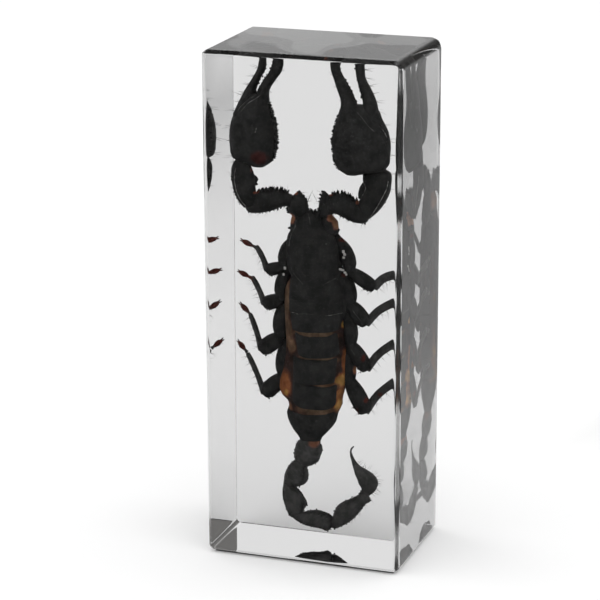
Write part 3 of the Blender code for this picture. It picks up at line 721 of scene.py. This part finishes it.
BLACK = (0.049, 0.0488, 0.048)
DARK_BROWN = (0.036, 0.032, 0.030)
CUTICLE = shell_material(
    "black_cuticle",
    ((0.0, BLACK), (0.25, (0.065, 0.0645, 0.063)), (0.55, (0.125, 0.124, 0.121)), (1.0, (0.42, 0.36, 0.30))),
    ((0.0, BLACK), (0.35, (0.10, 0.038, 0.036)), (0.65, (0.30, 0.08, 0.05)), (1.0, (0.46, 0.22, 0.11))),
    mottle=0.6, roughness=0.45, specular=0.05, grain_scale=3200.0, bump=0.2,
)
MEMBRANE = shell_material(
    "brown_membrane",
    (
        (0.0, DARK_BROWN), (0.2, (0.06, 0.045, 0.038)), (0.5, (0.21, 0.15, 0.10)),
        (0.7, (0.32, 0.23, 0.155)), (1.0, (0.6, 0.45, 0.3)),
    ),
    (
        (0.0, DARK_BROWN), (0.2, (0.065, 0.034, 0.03)), (0.4, (0.18, 0.06, 0.035)),
        (0.6, (0.44, 0.15, 0.055)), (0.8, (0.60, 0.29, 0.08)), (1.0, (0.9, 0.52, 0.15)),
    ),
    mottle=0.45, roughness=0.5, specular=0.1, grain_scale=2200.0, bump=0.6,
)
# Bristles; the near-white palest end of this material also paints the pale seams and the painted highlights
# and air-pocket reflections.
HAIR = shell_material(
    "bristles",
    ((0.0, (0.02, 0.02, 0.02)), (0.5, (0.17, 0.165, 0.16)), (1.0, (0.85, 0.84, 0.82))),
    ((0.0, (0.01, 0.007, 0.005)), (0.4, (0.10, 0.06, 0.035)), (1.0, (0.5, 0.36, 0.22))),
    mottle=0.6, roughness=0.5, specular=0.1, grain_scale=6000.0, bump=0.2,
)


# ---- clear block
# Radius of each edge. The key says where it is: -1, 0 or 1 across, from front to back, and up.
EDGE_RADII = {
    (-1, -1, 0): 1.1, (1, -1, 0): 1.6, (-1, 1, 0): 0.08, (1, 1, 0): 1.6, (0, -1, 1): 3.0, (0, 1, 1): 1.2,
    (-1, 0, 1): 0.8, (1, 0, 1): 2.3, (0, -1, -1): 1.0, (0, 1, -1): 0.08, (-1, 0, -1): 1.2, (1, 0, -1): 1.0,
}
BEVEL_SEGMENTS = 12
# Two edges are worn. Each has its round profile, from the front on, turned into this: the distance
# from the start of the rounding along the first face, and the one from the front face.
WORN_SIDE = (
    (0.0, 0.0), (0.35, 0.0), (0.58, 0.02), (0.72, 0.08), (0.83, 0.17), (0.92, 0.29), (0.99, 0.44),
    (1.09, 0.67), (1.19, 0.9), (1.29, 1.13), (1.39, 1.36), (1.49, 1.6), (1.6, 1.9),
)
WORN_TOP = (
    (0.0, 0.0), (0.9, 0.0), (1.7, 0.0), (2.2, 0.0), (2.33, 0.03), (2.38, 0.08), (2.42, 0.2), (2.53, 0.55),
    (2.64, 0.9), (2.75, 1.25), (2.86, 1.6), (2.97, 1.95), (3.0, 3.0),
)


def wear(mesh, axis, face, radius, profile):
    """Reshape the round edge between the front and the face across an axis to its worn profile."""
    steps = np.linspace(0, math.pi / 2, len(profile))
    worn = np.array(profile)
    for vertex in mesh.vertices:
        along = vertex.co[axis] / MM - (face - radius)
        front = radius - BLOCK[1] / 2 - vertex.co.y / MM
        if along <= 0 or front <= 0:
            continue
        turn = math.atan2(along, front)
        share = (math.hypot(along, front) / radius) ** 2 * MM
        vertex.co[axis] += (np.interp(turn, steps, worn[:, 0]) - radius * math.sin(turn)) * share
        vertex.co.y += (np.interp(turn, steps, worn[:, 1]) - radius * (1 - math.cos(turn))) * share
        vertex.co[axis] = min(vertex.co[axis], face * MM)
        vertex.co.y = max(vertex.co.y, -BLOCK[1] / 2 * MM)


def make_block():
    bm = bmesh.new()
    middle = Vector((0, 0, BLOCK[2] * MM / 2))
    bmesh.ops.create_cube(bm, size=1.0)
    bmesh.ops.scale(bm, vec=[side * MM for side in BLOCK], verts=bm.verts)
    bmesh.ops.translate(bm, vec=middle, verts=bm.verts)
    mesh = bpy.data.meshes.new("resin_block")
    bm.to_mesh(mesh)
    bm.free()
    widest = max(EDGE_RADII.values())
    weights = mesh.attributes.new("bevel_weight_edge", "FLOAT", "EDGE")
    for edge in mesh.edges:
        at = (mesh.vertices[edge.vertices[0]].co + mesh.vertices[edge.vertices[1]].co) / 2 - middle
        sides = tuple(0 if abs(v) < 1e-6 else int(math.copysign(1, v)) for v in at)
        weights.data[edge.index].value = EDGE_RADII[sides] / widest
    mesh.shade_smooth()
    block = placed("resin_block", mesh)
    bevel = block.modifiers.new("Edges", "BEVEL")
    bevel.limit_method = "WEIGHT"
    bevel.width = widest * MM
    bevel.segments = BEVEL_SEGMENTS
    bevel.use_clamp_overlap = False
    bpy.context.view_layer.update()
    mesh = bpy.data.meshes.new_from_object(block.evaluated_get(bpy.context.evaluated_depsgraph_get()))
    wear(mesh, 0, BLOCK[0] / 2, EDGE_RADII[(1, -1, 0)], WORN_SIDE)
    wear(mesh, 2, BLOCK[2], EDGE_RADII[(0, -1, 1)], WORN_TOP)
    mesh.materials.append(resin_material())
    block.modifiers.clear()
    block.data = mesh
    block.modifiers.new("Faces", "WEIGHTED_NORMAL").keep_sharp = True
    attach(block, "root")
    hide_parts("resin_front", "resin_back")


# ---- the trunk
MIDDLE_X = -1.3
SLITS_X = -1.0
BELLY_Y = 8.9
BELLY_DEPTH = 3.6
# Rows of a back plate, from its top to its bottom edge: where, how far in and how much deeper.
BACK_ROWS = (
    (-0.02, 0.3, -0.28), (0.0, 0.1, -0.18), (0.06, 0.0, -0.1), (0.5, 0.0, 0.0), (0.9, 0.0, 0.12),
    (1.0, 0.03, 0.1), (1.01, 0.1, -0.1), (1.0, 0.3, -0.28),
)
# Level slices that end the soft core under the plates.
CORE_END = ((32.0, -7.2, 4.9, 3.35), (29.6, -6.9, 3.7, 3.05), (28.0, -6.0, 2.6, 2.7))
BODY_CORE = upright(ABDOMEN[:-1] + CORE_END, BODY_Y, 2.5)


def groove(angles):
    """A shallow furrow down the middle of the back."""
    return 1 - 0.05 * np.exp(-((apart(angles, -np.pi / 2) / 0.09) ** 2))


def back_plate(top_left, top_right, bottom_left, bottom_right, sag_top, sag_bottom, depth):
    """Rows of a plate that rises towards its lower edge and rolls in under it."""
    top = np.array((*top_left, *top_right))
    bottom = np.array((*bottom_left, *bottom_right))
    rows = []
    for share, inset, deeper in BACK_ROWS:
        left, left_z, right, right_z = top + (bottom - top) * share
        sag = sag_top + (sag_bottom - sag_top) * share
        rows.append((left + inset, left_z, right - inset, right_z, depth + deeper, sag))
    return rows


def belly_plate(top, bottom, left, right):
    """A plate of the belly side, with its rims turned in. Rows of z, how much wider and how much deeper."""
    rows = (
        (top + 0.5, -0.5, -0.55), (top + 0.1, -0.1, -0.2), (top - 0.4, 0.0, -0.02),
        ((top + bottom) / 2, 0.05, 0.08), (bottom + 0.5, 0.05, 0.2), (bottom + 0.1, 0.0, 0.2),
        (bottom - 0.05, -0.25, -0.1),
    )
    return upright([(z, left - w, right + w, BELLY_DEPTH + d) for z, w, d in rows], BODY_Y + 0.55, 2.3)


def make_trunk():
    trunk = Piece()
    trunk.skin(upright(CARAPACE, BODY_Y, 2.2), 72, 60, relief=groove, dome=0.5)
    skin = lying_on(BODY_CORE)
    for table in BACK_PLATES:
        trunk.rings(sagging(back_plate(*table), skin))
    trunk.rings(sagging(LAST_PLATE, BODY_Y, power=2.3, curve=2.5))
    for table in BELLY_PLATES:
        trunk.skin(belly_plate(*table), 64, 14, dome=0.05)
    mouth_parts(trunk)
    for x in (-1.75, -0.85):
        trunk.studs([(x, 1.95, 68.4)], [(x * 0.1, -1.0, 0.2)], 0.32, 0.22)
    for side in (-1, 1):
        eyes = [(MIDDLE_X + side * 3.4 + side * 0.25 * i, 3.0, 73.0 - 0.35 * i) for i in range(3)]
        trunk.studs(eyes, [(side * 0.7, -0.6, 0.4)] * 3, 0.16, 0.16)
    for x, z, side in ((-7.3, 70.3, -1), (4.2, 70.8, 1)):
        trunk.studs([(x - side * 0.3, 6.2, z)], [(side, -0.2, -0.1)], 0.28, 0.45)
    underside(trunk)
    body = trunk.build("scorpion_body", CUTICLE, grain=0.03, grain_size=0.6)
    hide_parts("scorpion")
    return body


def mouth_parts(trunk):
    """Two stout chelicerae, each with two points."""
    for x, lean in ((-2.0, -0.1), (-0.6, 0.1)):
        tip_x = x + lean
        base = ((x, 5.6, 70.5, 1.1, 1.5), (tip_x, 5.2, 72.8, 1.1, 1.5), (tip_x, 4.8, 74.3, 0.75, 1.0))
        trunk.skin(Limb(base), 24, 14)
        for side in (-0.35, 0.4):
            point = (
                (tip_x + side, 4.7, 74.0, 0.42, 0.6), (tip_x + side * 1.2, 4.4, 74.8, 0.3, 0.4),
                (tip_x + side * 0.3, 4.2, 75.3, 0.08, 0.1),
            )
            trunk.skin(Limb(point), 10, 8)


def underside(trunk):
    """Coxae, breastplate and genital plates of the belly side."""
    plate = ((68.4, 8.6, 0.5, 0.5), (66.6, BELLY_Y, 1.1, 0.7), (64.6, BELLY_Y, 0.7, 0.6))
    trunk.skin(Limb([(MIDDLE_X, y, z, wide, deep) for z, y, wide, deep in plate]), 16, 12)
    for name, joints in LEGS.items():
        side = side_of(name)
        inner = np.array((MIDDLE_X + side * 0.9, BELLY_Y, 69.6 - int(name[-1]) * 1.7))
        outer = np.array(joints[0]) + HIP_OFFSET * (-side, 2.0, 1)
        middle = (inner + outer) / 2 + (0.0, 0.3, 0.2)
        trunk.skin(Limb(((*inner, 0.8, 0.6), (*middle, 1.35, 0.8), (*outer, 1.3, 1.0)), power=2.6), 18, 14)
    for side in (-1, 1):
        x = MIDDLE_X + side * 0.85
        lid = ((x, BELLY_Y, 62.6, 0.5, 0.4), (x, 9.1, 61.6, 0.85, 0.5), (x, BELLY_Y, 60.6, 0.6, 0.4))
        trunk.skin(Limb(lid), 14, 10)


def make_membranes():
    """The soft skin between the plates, with the combs and the breathing slits under it."""
    soft = Piece()
    soft.skin(BODY_CORE, 120, 130, tint=0.17, dome=0.2)
    for side in (-1, 1):
        hub = np.array((MIDDLE_X + side * 0.8, 9.0, 59.4))
        end = np.array((MIDDLE_X + side * 5.2, 8.6, 56.2))
        middle = (hub + end) / 2 + (0.0, 0.2, 0.5)
        comb = Limb(((*hub, 0.45, 0.3), (*middle, 0.55, 0.35), (*end, 0.3, 0.25)))
        soft.skin(comb, 12, 16, tint=0.5)
        for root in comb.line(0.12, 0.97, 15, DOWN)[0]:
            half_way, tip = root + (side * 0.1, 0.1, -0.7), root + (side * 0.15, 0.1, -1.3)
            tooth = Limb(((*root, 0.13, 0.2), (*half_way, 0.15, 0.2), (*tip, 0.07, 0.1)))
            soft.skin(tooth, 8, 6, tint=0.55)
    for top, bottom, *_ in BELLY_PLATES:
        for side in (-1, 1):
            z = (top + bottom) / 2 + 0.4
            slit = ((3.6, 9.1, -0.25, 0.1, 0.35), (4.0, 9.15, 0.0, 0.3, 0.5), (4.5, BELLY_Y, 0.2, 0.1, 0.4))
            stations = [(SLITS_X + side * x, y, z + up, wide, deep) for x, y, up, wide, deep in slit]
            soft.skin(Limb(stations), 10, 8, tint=0.45)
    return soft.build(
        "scorpion_membranes", MEMBRANE, grain=0.06, grain_size=0.7, spots=MEMBRANE_SPOTS_AND_HIGHLIGHT, warmth=0.7
    )


# ---- the arms
ARM_LIMBS = {name: Outline(table) for name, table in ARMS.items()}
CLAW_LIMBS = {name: upright(table, CLAW_Y[side_of(name)], 2.2) for name, table in CLAWS.items()}
ARM_PARTS = {**ARM_LIMBS, **CLAW_LIMBS}
# Knobs of the arms: x, y, z, the way they point in x and z, radius and height.
ARM_KNOBS = (
    (-14.7, 4.2, 80.6, 1.0, 0.05, 1.15, 1.2), (-14.3, 4.2, 79.7, 1.0, -0.2, 0.5, 0.7),
    (-15.6, 4.6, 73.9, -0.6, -0.8, 0.35, 0.5), (9.2, 4.5, 99.9, 1.0, 0.0, 0.4, 0.35),
    (8.0, 4.5, 98.9, 1.0, 0.4, 0.4, 0.3), (6.6, 4.5, 101.7, 1.0, 0.2, 0.35, 0.3),
    (-4.6, 5.2, 78.4, 0.1, 1.0, 0.35, 0.5), (1.0, 5.2, 78.7, -0.1, 1.0, 0.4, 0.5),
    (-13.4, 4.5, 99.2, -0.6, 0.9, 0.45, 0.5), (-7.0, 5.4, 74.3, -1.0, -0.3, 0.35, 0.45),
)
TOOTH_SIZES = (0.7, 1.2)
TOOTH_SHIFT = 0.08


def serrate(piece, limb, start, end, count, direction, radius, height, turns=(0.0,)):
    """Rows of uneven blunt teeth along one side of a limb."""
    for turn in turns:
        points, outward = limb.line(start, end, count, direction, turn)
        size = RANDOM.uniform(*TOOTH_SIZES, count)
        shift = RANDOM.normal(0.0, TOOTH_SHIFT, (count, 3))
        piece.studs(points + shift, outward + shift * 2, radius * size, height * size)


def make_arms():
    arms = Piece()
    for limb in ARM_LIMBS.values():
        arms.skin(limb, 44, 40, relief=keels((-100, -30, 30, 150, -150), 0.02, 0.1), dome=0.35)
    for name, limb in CLAW_LIMBS.items():
        dome = 0.12 if "hand" in name else 0.5
        arms.skin(limb, 64, 60, relief=keels((-90, -45, -135), 0.012, 0.1), dome=dome)
    for side, inner in (("left", RIGHT), ("right", LEFT)):
        for part, *row in (
            ("hand", 0.12, 0.86, 26, inner, 0.2, 0.42, (-0.3, 0.0, 0.3)),
            ("hand", 0.2, 0.9, 12, -inner, 0.2, 0.14, (-0.5, 0.5)),
            ("inner_finger", 0.25, 0.95, 12, -inner, 0.24, 0.22),
            ("outer_finger", 0.25, 0.95, 12, inner, 0.24, 0.22),
            ("femur", 0.12, 0.8, 14, UP, 0.25, 0.8, (-0.4, 0.0, 0.4)),
            ("femur", 0.05, 0.95, 12, DOWN, 0.24, 0.42),
            ("patella", 0.08, 0.6, 10, -inner, 0.22, 0.16, (0.4,)),
            ("trochanter", 0.1, 0.95, 7, inner, 0.26, 0.35),
            ("trochanter", 0.05, 0.3, 4, -inner, 0.3, 0.5),
        ):
            serrate(arms, ARM_PARTS[f"{side}_{part}"], *row)
    for x, y, z, way_x, way_z, radius, height in ARM_KNOBS:
        arms.studs([(x, y, z)], [(way_x, 0.0, way_z)], radius, height)
    return arms.build("scorpion_pedipalps", CUTICLE, grain=0.03, grain_size=0.6, spots=ARM_SPOTS)


# ---- the legs
def leg_limbs(side, hip, elbow, knee, ankle, instep, toe, half_widths):
    hip, elbow, knee, ankle, instep, toe = np.array((hip, elbow, knee, ankle, instep, toe))
    femur, patella, tibia = half_widths
    root = hip + HIP_OFFSET * (-side, 1, 1)
    thigh = profile_limb(hip, elbow, FEMUR_PROFILE, femur, FEMUR_HALF_DEPTH, side * FEMUR_BOW)
    middle = profile_limb(elbow, knee, PATELLA_PROFILE, patella, FEMUR_HALF_DEPTH)
    shin = profile_limb(knee, ankle, TIBIA_PROFILE[side], tibia, TIBIA_HALF_DEPTH, side * TIBIA_BOW[side])
    foot = [(*(instep + (toe - instep) * t), wide, deep) for t, wide, deep in FOOT_PROFILE]
    return (
        Limb([(*root, femur * 0.8, FEMUR_HALF_DEPTH), thigh[0]]),
        Limb(thigh, power=2.3),
        Limb(middle, power=2.4),
        Limb(shin),
        Limb(foot),
    )


LEG_LIMBS = {name: leg_limbs(side_of(name), *joints) for name, joints in LEGS.items()}


def foot_tint(place):
    return 0.42 + 0.2 * min(1.0, max(0.0, place * 2 - 0.3))


def make_legs():
    legs = Piece()
    ridges = keels((0, 180), 0.05, 0.15)
    for name, joints in LEGS.items():
        root, thigh, middle, shin, foot = LEG_LIMBS[name]
        legs.skin(root, 18, 8)
        legs.skin(thigh, 24, 28, relief=ridges)
        legs.skin(middle, 24, 28, relief=ridges, dome=0.35)
        legs.skin(shin, 18, 26, tint=0.45, dome=0.3)
        legs.skin(foot, 16, 22, tint=foot_tint, dome=0.3)
        for limb, count in ((thigh, 9), (middle, 7)):
            serrate(legs, limb, 0.15, 0.9, count, FRONT, 0.14, 0.12, (0.5, -0.5))
        serrate(legs, middle, 0.75, 0.97, 3, DOWN, 0.2, 0.25)
        instep, toe = np.array(joints[4:6])
        forward = unit(toe - instep)
        spread = unit(np.cross(forward, BACK))
        for turn in (-1, 1):
            bend = toe + (forward + spread * turn * 0.5) * 0.45
            tip = toe + (forward * 0.9 + spread * turn * 0.3) * 0.8
            claw = Limb(((*(toe - forward * 0.3), 0.17, 0.17), (*bend, 0.12, 0.12), (*tip, 0.03, 0.03)))
            legs.skin(claw, 8, 8, tint=0.3)
    return legs.build("scorpion_legs", CUTICLE, grain=0.03, grain_size=0.5, spots=LEG_SPOTS)


# ---- the tail
TAIL_LIMBS = {name: Outline(table, power=2.5) for name, table in TAIL.items()}


def make_tail():
    tail = Piece()
    for name, limb in TAIL_LIMBS.items():
        if name == "sting":
            tail.skin(limb, 36, 80, tint=0.55, dome=0.3)
            serrate(tail, limb, 0.05, 0.4, 6, RIGHT, 0.14, 0.1, (-0.9, -0.3, 0.3, 0.9))
            continue
        tail.skin(limb, 44, 40, 0.52, keels((-45, -135, 0, 180, 60, 120), 0.04, 0.09), dome=0.25)
        wide = limb.frames(0.5)[1][0]
        for direction in (wide, -wide):
            serrate(tail, limb, 0.08, 0.95, 14, direction, 0.2, 0.2)
        serrate(tail, limb, 0.1, 0.95, 12, FRONT, 0.16, 0.14, (-0.75, 0.75))
    return tail.build("scorpion_tail", CUTICLE, grain=0.04, grain_size=0.5, spots=TAIL_SPOTS)


# ---- bristles, pale seams and painted highlights
ROW_SPREADS = (-0.5, 0.0, 0.5)
STING_HAIRS = 22
STING_Y = 6.0
FILM_LIFT = 0.02
POCKET_DEPTH = 0.12
# Start and end, in x and z, of the hairs between the arms.
MOUTH_HAIRS = ((-2.5, 76.9, -1.4, 79.3), (-0.5, 77.0, -1.6, 78.8), (-2.6, 76.4, -2.0, 78.0))


def make_bristles():
    """Hairs on the claws, arms, legs, tail and sting, and three long ones between the arms."""
    bristles = Piece()

    def row(limb, start, end, count, direction, length, tint=0.3, thickness=0.036):
        """Three rows of hairs along one side of a limb."""
        for spread in ROW_SPREADS:
            points, outward = limb.line(start, end, count, direction, spread)
            bristles.hairs(points, outward, length, thickness, 0.2, tint)

    for side, outer in (("left", LEFT), ("right", RIGHT)):
        for part, *values in (
            ("hand", 0.15, 0.95, 5, outer, 3.0, 0.2, 0.042),
            ("outer_finger", 0.2, 0.9, 6, outer, 2.2, 0.2, 0.042),
            ("inner_finger", 0.2, 0.9, 4, -outer, 0.9),
            ("femur", 0.1, 0.9, 6, UP, 1.5, 0.3, 0.042),
            ("femur", 0.1, 0.9, 5, DOWN, 1.3, 0.3, 0.042),
            ("patella", 0.1, 0.9, 4, outer, 1.0),
            ("trochanter", 0.5, 0.9, 3, -outer, 1.4, 0.2),
        ):
            row(ARM_PARTS[f"{side}_{part}"], *values)
    for name, (_, _, middle, shin, foot) in LEG_LIMBS.items():
        below = LEFT * 0.6 + DOWN if side_of(name) < 0 else DOWN
        row(shin, 0.1, 0.95, 6, below, 1.7, 0.35, 0.034)
        row(middle, 0.5, 0.95, 3, DOWN, 1.4, 0.35, 0.034)
        row(foot, 0.3, 0.9, 3, below, 0.5, 0.5, 0.022)
    outer_edge = np.array(TAIL["sting"][3])[:8, :2]
    steps = np.linspace(0.6, 6.6, STING_HAIRS)
    x, z = resampled(outer_edge, steps).T
    along_x, along_z = resampled(np.gradient(outer_edge, axis=0), steps).T
    points = np.column_stack((x - 0.15, STING_Y + RANDOM.uniform(-0.35, 0.35, STING_HAIRS), z))
    outward = np.column_stack((along_z, RANDOM.uniform(-0.3, 0.3, STING_HAIRS), -along_x))
    bristles.hairs(points, outward, 2.0, 0.05, 0.15, 0.2)
    row(TAIL_LIMBS["tail_5"], 0.5, 0.97, 4, RIGHT + DOWN, 1.5, thickness=0.04)
    row(TAIL_LIMBS["tail_5"], 0.2, 0.6, 3, LEFT + UP, 0.7)
    for x, z, end_x, end_z in MOUTH_HAIRS:
        line = [(x + (end_x - x) * t, 4.4 + 0.3 * t * t, z + (end_z - z) * t) for t in (0.0, 0.3, 0.6, 1.0)]
        bristles.strand(line, 0.04, 0.1)
    bristles.build("scorpion_bristles", HAIR, warmth=0.6)


def make_seams_and_highlights(pieces):
    """Pale seams, painted highlights and painted silvery air pockets, laid on the front of the pieces."""
    trees = []
    for mesh in (piece.data for piece in pieces):
        points = [vert.co / MM for vert in mesh.vertices]
        trees.append(BVHTree.FromPolygons(points, [tuple(face.vertices) for face in mesh.polygons]))

    def front_y(x, z):
        hits = [tree.ray_cast((x, -BLOCK[1] / 2, z), (0.0, 1.0, 0.0))[0] for tree in trees]
        return min((hit.y for hit in hits if hit), default=None)

    seams_and_highlights = Piece()
    # Painted reflection: each air pocket is a small flat skin at the palest tint.
    for x, y, z, wide, high in AIR_POCKET_HIGHLIGHTS:
        y = min(front_y(x, z) or y, y) + FILM_LIFT
        seams_and_highlights.skin(Limb([(x, y, z + high * end, wide, POCKET_DEPTH) for end in (-0.5, 0.5)]), 14, 6, 1.0)
    # Pale seams, and painted highlights of air films, edge sheen and glints.
    for half_width, pale, *corners in PALE_SEAMS_AND_HIGHLIGHTS:
        line = resampled(corners, np.linspace(0, len(corners) - 1, 5 * len(corners)))
        laid = [(x, front_y(x, z), z) for x, z in line]
        laid = [(x, y - FILM_LIFT, z) for x, y, z in laid if y is not None]
        if len(laid) > 2:
            patchy = [0.75 + 0.6 * noise.noise(Vector(point) * 2.0) for point in laid]
            seams_and_highlights.strand(laid, half_width, pale * np.array(patchy))
    seams_and_highlights.build("scorpion_seams_and_highlights", HAIR)


# ---- stage, light and camera
FLOOR_Z = -0.5
FLOOR_SIZE = (6000.0, 6000.0)
# Size of the near-black sheet of painted shadow just under the block.
SHADOW_SHEET_SIZE = (40.5, 27.5)
# Dark cards in the studio: the direction of each, and its tone by the cosine to that direction.
DARK_CARDS = (
    ((0.335, 0.867, 0.369), ((0.90, 1.0), (0.965, (0.2, 0.195, 0.19)))),
    ((-0.317, 0.584, 0.746), ((0.93, 1.0), (0.965, 0.08))),
)


def lay_sheet(name, size, z, surface):
    """A level rectangle of the stage."""
    bm = bmesh.new()
    bmesh.ops.create_grid(bm, x_segments=1, y_segments=1, size=0.5)
    bmesh.ops.scale(bm, vec=(size[0] * MM, size[1] * MM, 1.0), verts=bm.verts)
    mesh = bpy.data.meshes.new(name)
    bm.to_mesh(mesh)
    bm.free()
    mesh.materials.append(surface)
    sheet = placed(name, mesh)
    sheet.location.z = z * MM


def make_stage():
    """A pale floor with soft zones of painted shade and painted light, and a dark sheet of painted shadow
    under the block.
    """
    pale, tree, shader = material("pale_floor")
    where = node(tree, "TexCoord")["Object"]

    def across(way_x, way_y, start, end, stops):
        """Painted shade across the floor, between two distances in metres."""
        place = node(tree, "VectorMath", {0: where, 1: (way_x, way_y, 0.0)}, "DOT_PRODUCT")["Value"]
        share = node(tree, "MapRange", {"Value": place, "From Min": start, "From Max": end})["Result"]
        return ramp(tree, share, stops)

    # Painted shade on the floor: darker towards the front, to the right, and in a band behind the block,
    # beside it.
    front = across(0.324, -0.946, 0.036, 0.28, ((0.0, 1.0), (0.25, 0.97), (1.0, 0.9)))
    right = across(
        1.0, 0.24, 0.07, 0.3, ((0.0, 1.0), (0.3, 0.95), (0.5, 0.86), (0.78, 0.66), (1.0, 0.85))
    )
    beside = across(1.0, -0.335, 0.0005, 0.0405, ((0.0, 0.0), (0.25, 1.0), (0.6, 1.0), (0.9, 0.0)))
    behind = across(0.0, 1.0, 0.07, 0.15, ((0.0, 0.0), (1.0, 1.0)))
    shade = product(tree, front, right)
    shade = mixed(tree, product(tree, beside, behind), shade, product(tree, shade, grey(0.72)))
    # Painted light: the floor is lightest close to the block and a little darker further off.
    reach = node(tree, "VectorMath", {0: where}, "LENGTH")["Value"]
    shade = product(tree, shade, ramp(tree, reach, ((0.03, 1.0), (0.09, 0.96), (0.22, 0.92))))
    colour = product(tree, grey(0.98), shade)
    fill(tree, shader, {"Base Color": colour, "Roughness": 0.8, "Specular IOR Level": 0.0})
    lay_sheet("floor", FLOOR_SIZE, FLOOR_Z, pale)
    # Painted shadow: a near-black sheet just under the block, where the floor lies in its shade.
    dark, tree, shader = material("painted_shadow_sheet")
    colour = ramp(tree, noise_field(tree, 900.0), ((0.3, 0.01), (0.7, 0.02)))
    fill(tree, shader, {"Base Color": colour, "Specular IOR Level": 0.0})
    lay_sheet("painted_shadow_sheet", SHADOW_SHEET_SIZE, FLOOR_Z + 0.1, dark)


def make_world():
    """Soft studio light from all round, brighter from above, with dark cards and a faint cloud."""
    world = bpy.data.worlds.new("studio")
    bpy.context.scene.world = world
    world.use_nodes = True
    tree = world.node_tree
    way = node(tree, "TexCoord")["Generated"]
    height = node(tree, "SeparateXYZ", {0: way})["Z"]
    colour = ramp(tree, height, ((0.15, 0.78), (0.22, 0.80), (0.38, 0.84), (0.6, 1.0), (0.95, 1.2)))
    for direction, stops in DARK_CARDS:
        nearness = node(tree, "VectorMath", {0: way, 1: direction}, "DOT_PRODUCT")["Value"]
        colour = product(tree, colour, ramp(tree, nearness, stops))
    squeezed = node(tree, "VectorMath", {0: way, 1: (1.0, 1.0, 2.2)}, "MULTIPLY")["Vector"]
    clouds = node(tree, "TexNoise", {"Vector": squeezed, "Scale": 34.0, "Detail": 1.0})["Fac"]
    tones = ramp(tree, clouds, ((0.49, 0.7), (0.51, 0.92), (0.59, 0.92), (0.61, 1.06)))
    low = ramp(tree, height, ((0.24, 1.0), (0.28, 0.0)))
    fill(tree, tree.nodes["Background"], {
        "Color": mixed(tree, low, colour, product(tree, colour, tones)), "Strength": 1.26,
    })


def make_camera():
    camera = bpy.data.cameras.new("camera")
    camera.lens = 155.53
    right = Vector((0.9442, 0.3294, -0.0028))
    up = Vector((-0.0902, 0.2667, 0.9595))
    ahead = Vector((-0.3168, 0.9057, -0.2815))
    place = (0.17093, -0.50415, 0.21061)
    holder = placed("camera", camera)
    holder.matrix_world = Matrix(
        [(right[i], up[i], -ahead[i], place[i]) for i in range(3)] + [(0, 0, 0, 1)]
    )
    bpy.context.scene.camera = holder


make_camera()
make_stage()
make_world()
bpy.context.scene.view_settings.view_transform = "Standard"
make_block()
shell = [make_trunk(), make_membranes(), make_arms(), make_legs(), make_tail()]
make_bristles()
make_seams_and_highlights(shell)
